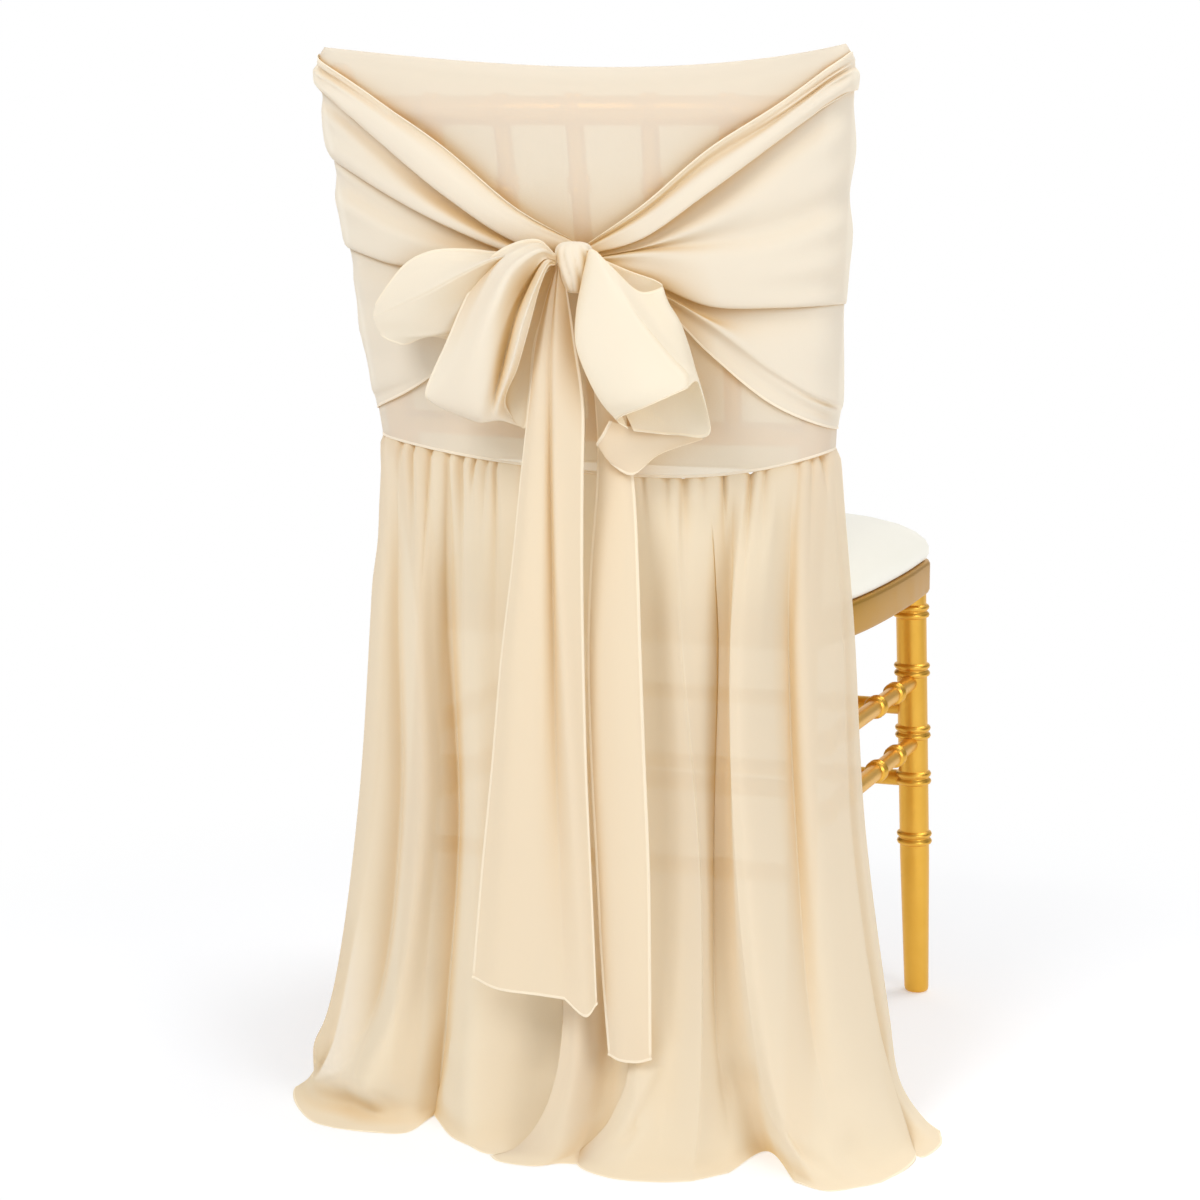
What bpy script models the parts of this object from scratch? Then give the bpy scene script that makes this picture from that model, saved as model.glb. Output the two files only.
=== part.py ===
"""Chair cover with sash, worn by a plain turned banquet chair.

Metres, +Z up, +Y towards the front of the seat, +X to the right for someone behind the chair.
Shapes are drawn from the floor point midway between the rear posts' upright stretch, and one
empty sets everything down so that the whole footprint is centred on the origin.
"""
import bpy
import numpy as np

# Setting down: the drawing point seen from the middle of the whole footprint
SET_DOWN = (-0.0199, -0.0947, 0.0)

# Fits
GAP = 0.0003                    # between pieces that touch
RAKE_GAP = 0.0013               # at the axis of a square end that meets a raked upright
CHIFFON = 0.0012                # one layer of cloth with its hems
KEPT_SHARP = 40                 # degrees: edges that turn more than this are not smoothed over

# Chair: levels and half-widths
SEAT_LEVEL = 0.420              # the rear posts are upright here
POST_TOP = 0.905
POST_RADIUS = 0.013
POST_HALF_FOOT, POST_HALF_SEAT, POST_HALF_TOP = 0.184, 0.170, 0.212
POST_RAKE_TOP, POST_RAKE_FOOT = 0.090, 0.045
POST_SWEEP_TOP, POST_SWEEP_FOOT = 1.25, 1.3     # powers of the rake above and below the seat
POST_STATIONS = (               # level, radius
    (0.0, 0.0115), (0.10, POST_RADIUS), (0.20, POST_RADIUS), (0.31, POST_RADIUS),
    (0.42, POST_RADIUS), (0.53, POST_RADIUS), (0.64, POST_RADIUS), (0.75, POST_RADIUS),
    (0.84, POST_RADIUS), (0.888, POST_RADIUS), (0.898, 0.010), (POST_TOP, 0.005),
)
FRAME_BOTTOM, FRAME_TOP = 0.395, 0.435
FRAME_REAR_Y, FRAME_FRONT_Y = POST_RADIUS + GAP, 0.388
FRAME_HALF_REAR, FRAME_HALF_FRONT, FRAME_CORNER = 0.178, 0.207, 0.070
FRAME_EASE_IN, FRAME_EASE_DEEP = 0.003, 0.004   # eased edges of the seat ring
SEAT_SIDE_MIDDLE = 0.55         # share of the side's depth from which its points are measured
SEAT_SIDE = ((-0.08, 0.5, 0.004), (0.05, 1.0, -0.001))  # distance ahead, share of widening, swell
PAD_TOP = 0.487
PAD_CROWN = (                   # inset, rise above the seat ring
    (0.012, 0.0), (0.004, 0.008), (0.001, 0.022), (0.004, 0.036), (0.014, 0.044), (0.034, 0.049),
    (0.060, PAD_TOP - FRAME_TOP - GAP),
)
LEG_TOP = (0.1864, 0.3507, FRAME_BOTTOM - GAP)
LEG_FOOT = (0.1930, 0.3790, 0.0)
LEG_RADIUS, LEG_FOOT_RADIUS = 0.0138, 0.0118
LEG_RINGS = (0.3835, 0.329, 0.264, 0.216, 0.156)
FOOT_EASE_HIGH, FOOT_EASE_IN = 0.003, 0.0015
TOP_RAIL_Z, TOP_RAIL_RADIUS, TOP_RAIL_BOW = 0.866, 0.012, 0.0305
LOW_RAIL_Z, LOW_RAIL_RADIUS, LOW_RAIL_BOW = 0.600, 0.010, 0.022
SPINDLE_X = (-0.125, -0.061, 0.003, 0.066, 0.129)
SPINDLE_TAPER_IN = 0.92         # lower ends stand closer together than upper ends
SPINDLE_RADIUS = 0.0075
SPINDLE_RINGS = (0.700, 0.810)
LOW_RAIL_STATIONS = (-0.10, -0.05, 0.0, 0.05, 0.10)
STRETCHER_RADIUS = 0.0078
SIDE_STRETCHERS = (("upper", 0.3135), ("lower", 0.2475))
CROSS_STRETCHERS = (("upper", 0.288), ("lower", 0.2165))
SIDE_RINGS, CROSS_RINGS = (0.18, 0.36, 0.64, 0.82), (0.2, 0.8)  # shares of a stretcher's length
RING_RISE, RING_SPREAD = 0.0030, 0.0035         # how far a turned ring stands proud and runs
DOUBLE_RING = ((-2, 0), (-1, 1), (0, 0.25), (1, 1), (2, 0))     # spreads along, share of the rise
SWELLING = ((-0.012, 0), (-0.009, 1), (0.009, 1), (0.012, 0))   # along the rail, share of its rise
SWELLING_RISE = 0.6 * RING_RISE                 # of the rail where it takes a spindle

# Hood: the pocket that slips over the chair back
HOOD_CLEAR = 0.018              # from a post's axis to the cloth round it
HOOD_TIP_HALF, HOOD_TIP_Z, HOOD_SAG = 0.2187, 0.9146, 0.0157
HOOD_TIP_Y = -0.094
HOOD_CORNER_DROP = 0.020        # height over which the upper corners round in
HOOD_TOP_CLOSING = 0.016        # height over which the two panels draw together under the top seam
HOOD_TOP_BOW, HOOD_TOP_GAP = 0.008, 0.0008
HOOD_PAST_POST = 0.086          # share of the half-width in which the cloth turns round a post
HOOD_ROWS, HOOD_ROW_CROWDING = 9, 1.6
BACK_COLUMNS, FRONT_COLUMNS = (0.78, 0.58, 0.38, 0.19), (0.5,)
SEAM_Z, SEAM_END_RISE, SEAM_SKEW = 0.571, 0.018, 0.012
SEAM_GAP = 0.0006
SLOPE_STEP = 0.01               # share of the half-width over which the hood's slope is read

# How far the back panel stands off behind the posts at mid-width, by level
BULGE_LEVELS = (0.50, 0.57, 0.74, 0.865, 0.905)
BULGE_DEPTHS = (0.062, 0.058, 0.042, 0.034, 0.012)

# Knot of the sash
KNOT = (0.0165, -0.145, 0.742)
KNOT_HALF = (0.01539, 0.0144, 0.0205)
KNOT_SIDES, KNOT_LEVELS = 14, 7
KNOT_PLEATS, KNOT_PLEAT_DEPTH = 5, 0.05
KNOT_SQUARENESS, KNOT_FLARE = 0.6, 0.10

FINISHES = {                    # sRGB hex, roughness, metallic
    "gold_paint": ("BE964E", 0.34, 0.9),
    "ivory_vinyl": ("F5F2E3", 0.5, 0.0),
    "chiffon": ("F0DFC6", 0.85, 0.0),
}


# ---------------------------------------------------------------- meshes

def clear_scene():
    for item in list(bpy.data.objects):
        bpy.data.objects.remove(item)


def linear(channel):
    return channel / 12.92 if channel <= 0.04045 else ((channel + 0.055) / 1.055) ** 2.4


def finish(node, kind):
    """A material of its own for one node, from its maker's finish."""
    hexa, roughness, metallic = FINISHES[kind]
    colour = [linear(int(hexa[i:i + 2], 16) / 255) for i in (0, 2, 4)]
    material = bpy.data.materials.new(node + "_" + kind)
    material.use_nodes = True
    shader = material.node_tree.nodes["Principled BSDF"]
    shader.inputs["Base Color"].default_value = (*colour, 1.0)
    shader.inputs["Roughness"].default_value = roughness
    shader.inputs["Metallic"].default_value = metallic
    return material


def solid(node, kind, points, faces):
    """One closed body from its points and faces, turned outside out if need be."""
    points = np.asarray(points, float)
    volume = 0.0
    for face in faces:
        for j in range(1, len(face) - 1):
            volume += np.dot(points[face[0]], np.cross(points[face[j]], points[face[j + 1]]))
    if volume < 0:
        faces = [tuple(reversed(face)) for face in faces]
    mesh = bpy.data.meshes.new(node)
    mesh.from_pydata(points.tolist(), [], [tuple(int(i) for i in face) for face in faces])
    mesh.materials.append(finish(node, kind))
    mesh.shade_smooth()
    mesh.set_sharp_from_angle(angle=np.radians(KEPT_SHARP))
    body = bpy.data.objects.new(node, mesh)
    bpy.context.collection.objects.link(body)
    body.parent = bpy.data.objects["set_down"]
    return body


def smooth_through(keys, steps):
    """Catmull-Rom curve through the rows of keys, with steps to each span."""
    keys = np.asarray(keys, float)
    padded = np.concatenate([2 * keys[:1] - keys[1:2], keys, 2 * keys[-1:] - keys[-2:-1]])
    rows = []
    for i in range(1, len(padded) - 2):
        before, start, end, after = padded[i - 1:i + 3]
        for t in np.arange(steps) / steps:
            rows.append(0.5 * (2 * start + (end - before) * t
                               + (2 * before - 5 * start + 4 * end - after) * t ** 2
                               + (3 * start - before - 3 * end + after) * t ** 3))
    rows.append(keys[-1])
    return np.array(rows)


def tube(node, kind, centres, radii, along, sides):
    """Turned or bent member: rings square to along, with flat ends."""
    along = np.asarray(along, float) / np.linalg.norm(along)
    side = np.cross(along, (0.0, 0.0, 1.0) if abs(along[2]) < 0.9 else (0.0, 1.0, 0.0))
    side /= np.linalg.norm(side)
    other = np.cross(along, side)
    turn = 2 * np.pi * (np.arange(sides) + 0.5) / sides
    ring = np.outer(np.cos(turn), side) + np.outer(np.sin(turn), other)
    points = np.concatenate([np.asarray(c) + r * ring for c, r in zip(centres, radii)])
    faces = [tuple(range(sides)), tuple(range(len(points) - sides, len(points)))[::-1]]
    for i in range(len(centres) - 1):
        for j in range(sides):
            a, b = i * sides + j, i * sides + (j + 1) % sides
            faces.append((a, a + sides, b + sides, b))
    return solid(node, kind, points, faces)


def sheet(node, grid, thickness=CHIFFON):
    """Cloth: a grid of mid-surface points given its thickness, closed round the hems."""
    grid = np.asarray(grid, float)
    rows, columns = grid.shape[:2]
    normal = np.cross(np.gradient(grid, axis=0), np.gradient(grid, axis=1))
    normal /= np.linalg.norm(normal, axis=2, keepdims=True)
    upper = (grid + normal * thickness / 2).reshape(-1, 3)
    lower = (grid - normal * thickness / 2).reshape(-1, 3)
    points = np.concatenate([upper, lower])
    points[:, 2] = np.maximum(points[:, 2], 0.0)
    half = rows * columns
    faces = []
    for i in range(rows - 1):
        for j in range(columns - 1):
            a, b = i * columns + j, (i + 1) * columns + j
            faces.append((a, b, b + 1, a + 1))
            faces.append((half + a, half + a + 1, half + b + 1, half + b))
    rim = [j for j in range(columns)]
    rim += [i * columns + columns - 1 for i in range(1, rows)]
    rim += [(rows - 1) * columns + j for j in range(columns - 2, -1, -1)]
    rim += [i * columns for i in range(rows - 2, 0, -1)]
    for a, b in zip(rim, rim[1:] + rim[:1]):
        faces.append((a, b, half + b, half + a))
    return solid(node, "chiffon", points, faces)


def plate(node, kind, layers):
    """Stack of like outlines, each at its own level, closed top and bottom."""
    count = len(layers[0])
    points = np.concatenate(layers)
    faces = [tuple(range(count))[::-1], tuple(range(len(points) - count, len(points)))]
    for i in range(len(layers) - 1):
        for j in range(count):
            a, b = i * count + j, i * count + (j + 1) % count
            faces.append((a, b, b + count, a + count))
    return solid(node, kind, points, faces)


# ---------------------------------------------------------------- the chair

def post_x(z):
    above = (z - SEAT_LEVEL) / (POST_TOP - SEAT_LEVEL)
    below = (SEAT_LEVEL - z) / SEAT_LEVEL
    splay_up = (POST_HALF_TOP - POST_HALF_SEAT) * np.maximum(above, 0)
    return POST_HALF_SEAT + splay_up + (POST_HALF_FOOT - POST_HALF_SEAT) * np.maximum(below, 0)


def post_y(z):
    above = np.maximum((z - SEAT_LEVEL) / (POST_TOP - SEAT_LEVEL), 0)
    below = np.maximum((SEAT_LEVEL - z) / SEAT_LEVEL, 0)
    return -POST_RAKE_TOP * above ** POST_SWEEP_TOP - POST_RAKE_FOOT * below ** POST_SWEEP_FOOT


def leg_point(z):
    t = (LEG_TOP[2] - z) / LEG_TOP[2]
    return LEG_TOP[0] + (LEG_FOOT[0] - LEG_TOP[0]) * t, LEG_TOP[1] + (LEG_FOOT[1] - LEG_TOP[1]) * t


def ringed(start, end, radius, end_radius, rings):
    """Stations and radii along a turned member, with double rings at the given stations."""
    stations, radii = [start], [radius]
    for place in rings:
        here = radius + (end_radius - radius) * (place - start) / (end - start)
        way = RING_SPREAD * (1 if end > start else -1)
        for shift, rise in DOUBLE_RING:
            stations.append(place + shift * way)
            radii.append(here + rise * RING_RISE)
    return stations + [end], radii + [end_radius]


def rear_posts():
    for side, word in ((-1, "left"), (1, "right")):
        centres = [(side * post_x(z), post_y(z), z) for z, _ in POST_STATIONS]
        radii = [radius for _, radius in POST_STATIONS]
        tube("rear_post_" + word, "gold_paint", centres, radii, (0, 0, 1), 10)


def front_legs():
    levels, radii = ringed(LEG_TOP[2], 0.0, LEG_RADIUS, LEG_FOOT_RADIUS, LEG_RINGS)
    levels = levels[:-1] + [FOOT_EASE_HIGH, 0.0]
    radii = radii[:-1] + [LEG_FOOT_RADIUS, LEG_FOOT_RADIUS - FOOT_EASE_IN]
    for side, word in ((-1, "left"), (1, "right")):
        centres = [(side * leg_point(z)[0], leg_point(z)[1], z) for z in levels]
        tube("front_leg_" + word, "gold_paint", centres, radii, (0, 0, 1), 10)


def seat_outline(inset, level, steps=5):
    """Seat plan, drawn in by inset: straight rear edge, easy sides, round front corners."""
    corner = FRAME_CORNER - inset
    half_front, front = FRAME_HALF_FRONT - inset, FRAME_FRONT_Y - inset
    half_rear, rear = FRAME_HALF_REAR - inset, FRAME_REAR_Y + inset
    middle = SEAT_SIDE_MIDDLE * (front - corner - rear) + rear
    right = [(half_rear, rear)]
    for ahead, widening, swell in SEAT_SIDE:
        right.append((half_rear + widening * (half_front - half_rear) + swell, middle + ahead))
    for turn in np.linspace(0, np.pi / 2, steps):
        right.append((half_front - corner + corner * np.cos(turn),
                      front - corner + corner * np.sin(turn)))
    left = [(-x, y) for x, y in reversed(right)]
    return np.array([(x, y, level) for x, y in right + left])


def seat():
    frame = [seat_outline(FRAME_EASE_IN, FRAME_BOTTOM), seat_outline(0.0, FRAME_BOTTOM + FRAME_EASE_DEEP),
             seat_outline(0.0, FRAME_TOP - FRAME_EASE_DEEP), seat_outline(FRAME_EASE_IN, FRAME_TOP)]
    plate("seat_frame", "gold_paint", frame)
    pad = [seat_outline(inset, FRAME_TOP + GAP + rise) for inset, rise in PAD_CROWN]
    plate("seat_pad", "ivory_vinyl", pad)


def bowed(x, z, half, bow):
    """Depth of a back rail or spindle end: on the posts' line, bowed back at mid-width."""
    return post_y(z) - bow * (1 - (x / half) ** 2)


def back_rails():
    for node, z, radius, bow in (("top_rail", TOP_RAIL_Z, TOP_RAIL_RADIUS, TOP_RAIL_BOW),
                                 ("lower_back_rail", LOW_RAIL_Z, LOW_RAIL_RADIUS, LOW_RAIL_BOW)):
        half = post_x(z)
        reach = half - POST_RADIUS - RAKE_GAP
        stations, radii = [-reach], [radius]
        for x in SPINDLE_X if node == "top_rail" else ():
            for shift, rise in SWELLING:
                stations.append(x + shift)
                radii.append(radius + SWELLING_RISE * rise)
        if node == "lower_back_rail":
            stations += LOW_RAIL_STATIONS
            radii += [radius] * len(LOW_RAIL_STATIONS)
        centres = [(x, bowed(x, z, half, bow), z) for x in stations + [reach]]
        tube(node, "gold_paint", centres, radii + [radius], (1, 0, 0), 8)


def spindles():
    top = TOP_RAIL_Z - TOP_RAIL_RADIUS - SWELLING_RISE - GAP
    low = LOW_RAIL_Z + LOW_RAIL_RADIUS + GAP
    levels, radii = ringed(low, top, SPINDLE_RADIUS, SPINDLE_RADIUS, SPINDLE_RINGS)
    for number, x in enumerate(SPINDLE_X, 1):
        foot_y = bowed(x * SPINDLE_TAPER_IN, LOW_RAIL_Z, post_x(LOW_RAIL_Z), LOW_RAIL_BOW)
        head_y = bowed(x, TOP_RAIL_Z, post_x(TOP_RAIL_Z), TOP_RAIL_BOW)
        centres = []
        for z in levels:
            t = (z - low) / (top - low)
            centres.append((x * (SPINDLE_TAPER_IN + (1 - SPINDLE_TAPER_IN) * t),
                            foot_y + (head_y - foot_y) * t, z))
        tube("spindle_%d" % number, "gold_paint", centres, radii, (0, 0, 1), 8)


def stretcher(node, start, end, rings, clear=(POST_RADIUS, POST_RADIUS)):
    """Turned stretcher between two uprights' axes, stopping just clear of their surfaces."""
    start, end = np.array(start), np.array(end)
    run = end - start
    length = np.linalg.norm(run)
    first, last = clear[0] + RAKE_GAP, length - clear[1] - RAKE_GAP
    stations, radii = ringed(first, last, STRETCHER_RADIUS, STRETCHER_RADIUS,
                             [first + (last - first) * place for place in rings])
    centres = [start + run * (s / length) for s in stations]
    tube(node, "gold_paint", centres, radii, run, 8)


def stretchers():
    for level, z in SIDE_STRETCHERS:
        leg_x, leg_y = leg_point(z)
        for side, word in ((-1, "left"), (1, "right")):
            stretcher("side_stretcher_%s_%s" % (word, level),
                      (side * post_x(z), post_y(z), z), (side * leg_x, leg_y, z),
                      SIDE_RINGS, (POST_RADIUS, LEG_RADIUS))
    for level, z in CROSS_STRETCHERS:
        leg_x, leg_y = leg_point(z)
        stretcher("front_stretcher_" + level, (-leg_x, leg_y, z), (leg_x, leg_y, z),
                  CROSS_RINGS, (LEG_RADIUS + RING_RISE, LEG_RADIUS + RING_RISE))
        stretcher("rear_stretcher_" + level, (-post_x(z), post_y(z), z),
                  (post_x(z), post_y(z), z), CROSS_RINGS)


# ---------------------------------------------------------------- the hood

def bulge(z):
    return np.interp(z, BULGE_LEVELS, BULGE_DEPTHS)


def hood_half(z):
    """Half-width of the hood at the side seams, rounding in at the upper corners."""
    past = np.clip((z - (HOOD_TIP_Z - HOOD_CORNER_DROP)) / HOOD_CORNER_DROP, 0, 1)
    full = post_x(z) + HOOD_CLEAR
    return full + (HOOD_TIP_HALF - full) * past ** 2


def hood_top(a):
    return HOOD_TIP_Z - HOOD_SAG * (1 - a ** 2)


def seam_z(a):
    """Waist seam: dips at mid-width and rises towards the side seams."""
    return SEAM_Z + SEAM_END_RISE * abs(a) ** 3 - SEAM_SKEW * a * (1 - a ** 2)


def wrap(a, z, face):
    """Hood mid-surface; a runs -1 to 1 between the side seams, face is -1 behind, 1 in front."""
    half = hood_half(z)
    past_post = np.clip((abs(a) * half - half) / HOOD_CLEAR + 1, 0, 1)
    corner = np.sqrt(1 - past_post ** 2)
    stand_off = HOOD_CLEAR * corner + (bulge(z) * (1 - a ** 2) if face < 0 else 0)
    closing = np.clip((hood_top(a) - z) / HOOD_TOP_CLOSING, 0, 1)
    closed = np.sqrt(1 - (1 - closing) ** 2)
    seam_y = HOOD_TIP_Y - HOOD_TOP_BOW * (1 - a ** 2) + face * HOOD_TOP_GAP
    y = (post_y(z) + face * (stand_off + SEAM_GAP)) * closed + seam_y * (1 - closed)
    return np.array([a * half, y, z])


def off_hood(a, z, relief):
    """Point that stands relief off the back panel, square to its level section."""
    along = wrap(min(a + SLOPE_STEP, 1), z, -1) - wrap(max(a - SLOPE_STEP, -1), z, -1)
    out = np.array([along[1], -along[0], 0])
    return wrap(a, z, -1) + relief * out / np.linalg.norm(out)


def hood_columns(inner):
    """Places across the hood: close together round the posts, then the given inner ones."""
    turn = np.linspace(0, np.pi / 2, 5)
    right = list(1 - HOOD_PAST_POST * (1 - np.cos(turn))) + list(inner)
    return [-a for a in right] + [0.0] + right[::-1]


def hood_panels():
    rise = 1 - np.linspace(1, 0, HOOD_ROWS) ** HOOD_ROW_CROWDING
    back = [[wrap(a, seam_z(a) + (hood_top(a) - seam_z(a)) * v, -1)
             for a in hood_columns(BACK_COLUMNS)] for v in rise]
    sheet("hood_back", back)
    hem = SEAM_Z + SEAM_END_RISE
    front = [[wrap(a, hem + (hood_top(a) - hem) * v, 1) for a in hood_columns(FRONT_COLUMNS)] for v in rise]
    sheet("hood_front", front)


# ---------------------------------------------------------------- the sash

# Fold lines of each wing, from the upper hem down. Heights are read at the side seam, a quarter,
# half and three quarters of the way in, and at the knot; relief is how far the fold stands off
# the hood at the seam, midway and at the knot, in millimetres.
WING_LEFT = (
    # fold            seam   quarter half   3/4    knot   relief
    ("upper_hem",     0.909, 0.885, 0.833, 0.786, 0.7560, (5, 8, 6)),
    ("first_crest",   0.898, 0.867, 0.819, 0.777, 0.7535, (6, 13, 7)),
    ("first_trough",  0.882, 0.843, 0.802, 0.766, 0.7505, (4, 5, 6)),
    ("second_crest",  0.850, 0.814, 0.785, 0.759, 0.7475, (7, 12, 7)),
    ("second_trough", 0.823, 0.789, 0.763, 0.752, 0.7445, (4, 5, 6)),
    ("third_crest",   0.792, 0.765, 0.752, 0.746, 0.7415, (7, 10, 7)),
    ("third_trough",  0.752, 0.740, 0.738, 0.739, 0.7385, (4, 5, 6)),
    ("belly",         0.690, 0.696, 0.708, 0.724, 0.7340, (5, 7, 7)),
    ("lower_hem",     0.610, 0.634, 0.668, 0.705, 0.7290, (4, 4, 6)),
)
WING_RIGHT = (
    ("upper_hem",     0.909, 0.887, 0.843, 0.796, 0.7560, (5, 8, 6)),
    ("first_crest",   0.898, 0.874, 0.830, 0.786, 0.7535, (6, 13, 7)),
    ("first_trough",  0.881, 0.853, 0.815, 0.776, 0.7505, (4, 6, 6)),
    ("second_crest",  0.845, 0.805, 0.783, 0.762, 0.7475, (7, 10, 7)),
    ("second_trough", 0.815, 0.783, 0.768, 0.754, 0.7445, (4, 6, 6)),
    ("drape",         0.775, 0.748, 0.738, 0.740, 0.7415, (6, 9, 7)),
    ("drape_edge",    0.711, 0.709, 0.712, 0.728, 0.7385, (7, 9, 7)),
    ("under_edge",    0.701, 0.697, 0.702, 0.722, 0.7360, (4, 4, 6)),
    ("hem_roll",      0.632, 0.652, 0.690, 0.716, 0.7330, (5, 7, 7)),
    ("lower_hem",     0.605, 0.628, 0.674, 0.710, 0.7290, (4, 4, 6)),
)
WING_END_X = 0.0045             # the wings' ends lie this far either side of the knot's middle
WING_CROWDING = 1.25            # crowds the wings' points towards their seams


def wing(node, folds, side):
    keys = []
    for _, *heights, relief in folds:
        reliefs = np.interp((0, 0.25, 0.5, 0.75, 1), (0, 0.5, 1), relief) / 1000
        keys.append(list(zip(heights, reliefs)))
    grid = []
    for line in smooth_through(keys, 2):
        way_in = smooth_through(line, 3)
        row = []
        for t in np.linspace(0, 1, len(way_in)) ** WING_CROWDING:
            z = np.interp(t, np.linspace(0, 1, len(way_in)), way_in[:, 0])
            relief = np.interp(t, np.linspace(0, 1, len(way_in)), way_in[:, 1])
            end = (KNOT[0] + side * WING_END_X) / hood_half(z)
            row.append(off_hood(side + (end - side) * t, z, relief))
        grid.append(row)
    sheet(node, grid)


def knot():
    """The strip wound once round the middle: a barrel, wider at its top, pleated upright."""
    points = []
    for lat in np.linspace(-0.5, 0.5, KNOT_LEVELS)[1:-1] * np.pi:
        for lon in 2 * np.pi * np.arange(KNOT_SIDES) / KNOT_SIDES:
            swell = 1 + KNOT_PLEAT_DEPTH * np.cos(KNOT_PLEATS * lon)
            width = np.cos(lat) ** KNOT_SQUARENESS * swell * (1 + KNOT_FLARE * np.sin(lat))
            points.append((KNOT[0] + KNOT_HALF[0] * width * np.cos(lon),
                           KNOT[1] + KNOT_HALF[1] * width * np.sin(lon),
                           KNOT[2] + KNOT_HALF[2] * np.sin(lat)))
    rings, turns = KNOT_LEVELS - 2, KNOT_SIDES
    points += [(KNOT[0], KNOT[1], KNOT[2] - KNOT_HALF[2]), (KNOT[0], KNOT[1], KNOT[2] + KNOT_HALF[2])]
    faces = []
    for j in range(turns):
        k = (j + 1) % turns
        faces.append((rings * turns, k, j))
        faces.append((rings * turns + 1, (rings - 1) * turns + j, (rings - 1) * turns + k))
        for i in range(rings - 1):
            faces.append((i * turns + j, i * turns + k, (i + 1) * turns + k, (i + 1) * turns + j))
    solid("sash_knot", "chiffon", points, faces)


# A loop or tail is a strip between its two hems. Each station gives a point on the first hem, the
# point across from it on the second hem, and how far the middle is puffed out, in millimetres.
LOOP_LEFT_OUTER = (
    # first hem                 second hem               puff
    ((-0.003, -0.148, 0.755), (-0.003, -0.148, 0.743), 1),
    ((-0.045, -0.155, 0.755), (-0.036, -0.160, 0.722), 6),
    ((-0.095, -0.154, 0.757), (-0.078, -0.164, 0.690), 8),
    ((-0.140, -0.147, 0.744), (-0.120, -0.157, 0.671), 6),
    ((-0.166, -0.134, 0.718), (-0.158, -0.134, 0.674), 3),
    ((-0.142, -0.122, 0.738), (-0.130, -0.121, 0.671), 2),
    ((-0.090, -0.121, 0.748), (-0.080, -0.121, 0.694), 1),
    ((-0.004, -0.134, 0.750), (-0.004, -0.134, 0.740), 0),
)
LOOP_LEFT_FRONT = (
    ((-0.003, -0.1545, 0.753), (-0.004, -0.1545, 0.737), 1),
    ((-0.036, -0.170, 0.751), (-0.017, -0.172, 0.722), 4),
    ((-0.060, -0.180, 0.722), (-0.021, -0.182, 0.690), 6),
    ((-0.085, -0.178, 0.684), (-0.027, -0.179, 0.655), 6),
    ((-0.108, -0.165, 0.645), (-0.042, -0.168, 0.622), 4),
    ((-0.110, -0.150, 0.636), (-0.050, -0.152, 0.615), 1),
    ((-0.088, -0.141, 0.646), (-0.032, -0.138, 0.608), 0),
    ((-0.048, -0.139, 0.686), (-0.012, -0.138, 0.650), 0),
    ((-0.010, -0.142, 0.733), (-0.003, -0.142, 0.7225), 0),
)
LOOP_RIGHT = (
    ((0.037, -0.146, 0.754), (0.035, -0.156, 0.741), 1),
    ((0.063, -0.158, 0.722), (0.030, -0.171, 0.711), 5),
    ((0.090, -0.166, 0.688), (0.026, -0.179, 0.680), 7),
    ((0.112, -0.161, 0.662), (0.038, -0.173, 0.645), 6),
    ((0.121, -0.148, 0.644), (0.056, -0.160, 0.620), 3),
    ((0.123, -0.132, 0.628), (0.075, -0.142, 0.609), 1),
    ((0.116, -0.121, 0.650), (0.080, -0.126, 0.625), 0),
    ((0.100, -0.121, 0.690), (0.060, -0.124, 0.665), 0),
    ((0.060, -0.127, 0.735), (0.040, -0.129, 0.716), 0),
    ((0.037, -0.135, 0.749), (0.037, -0.135, 0.738), 0),
)
FLAP_RIGHT = (
    ((0.030, -0.128, 0.624), (0.030, -0.128, 0.600), 0),
    ((0.042, -0.129, 0.614), (0.042, -0.130, 0.582), 2),
    ((0.056, -0.129, 0.606), (0.055, -0.131, 0.573), 1),
    ((0.070, -0.127, 0.602), (0.068, -0.129, 0.579), -2),
    ((0.088, -0.124, 0.602), (0.086, -0.126, 0.590), 0),
    ((0.108, -0.121, 0.604), (0.106, -0.122, 0.597), 0),
)
TAIL_LEFT = (
    ((0.000, -0.150, 0.719), (0.013, -0.150, 0.719), 0),
    ((-0.018, -0.152, 0.675), (0.019, -0.152, 0.664), 2),
    ((-0.026, -0.153, 0.590), (0.023, -0.153, 0.580), 3),
    ((-0.035, -0.155, 0.500), (0.025, -0.155, 0.490), 3),
    ((-0.047, -0.157, 0.400), (0.028, -0.157, 0.390), 3),
    ((-0.058, -0.159, 0.300), (0.031, -0.159, 0.290), 3),
    ((-0.066, -0.161, 0.215), (0.034, -0.161, 0.205), 3),
    ((-0.072, -0.162, 0.145), (0.037, -0.162, 0.128), 3),
)
TAIL_RIGHT = (
    ((0.016, -0.129, 0.7185), (0.027, -0.128, 0.7185), 0),
    ((0.018, -0.117, 0.652), (0.036, -0.117, 0.652), 1),
    ((0.022, -0.114, 0.600), (0.049, -0.114, 0.600), 1),
    ((0.024, -0.122, 0.550), (0.062, -0.122, 0.550), 1),
    ((0.024, -0.134, 0.490), (0.068, -0.134, 0.490), 2),
    ((0.024, -0.141, 0.420), (0.073, -0.141, 0.420), 2),
    ((0.027, -0.146, 0.330), (0.079, -0.146, 0.330), 2),
    ((0.034, -0.149, 0.240), (0.085, -0.149, 0.240), 2),
    ((0.039, -0.150, 0.160), (0.087, -0.150, 0.160), 2),
    ((0.046, -0.152, 0.088), (0.085, -0.152, 0.088), 2),
)


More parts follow.
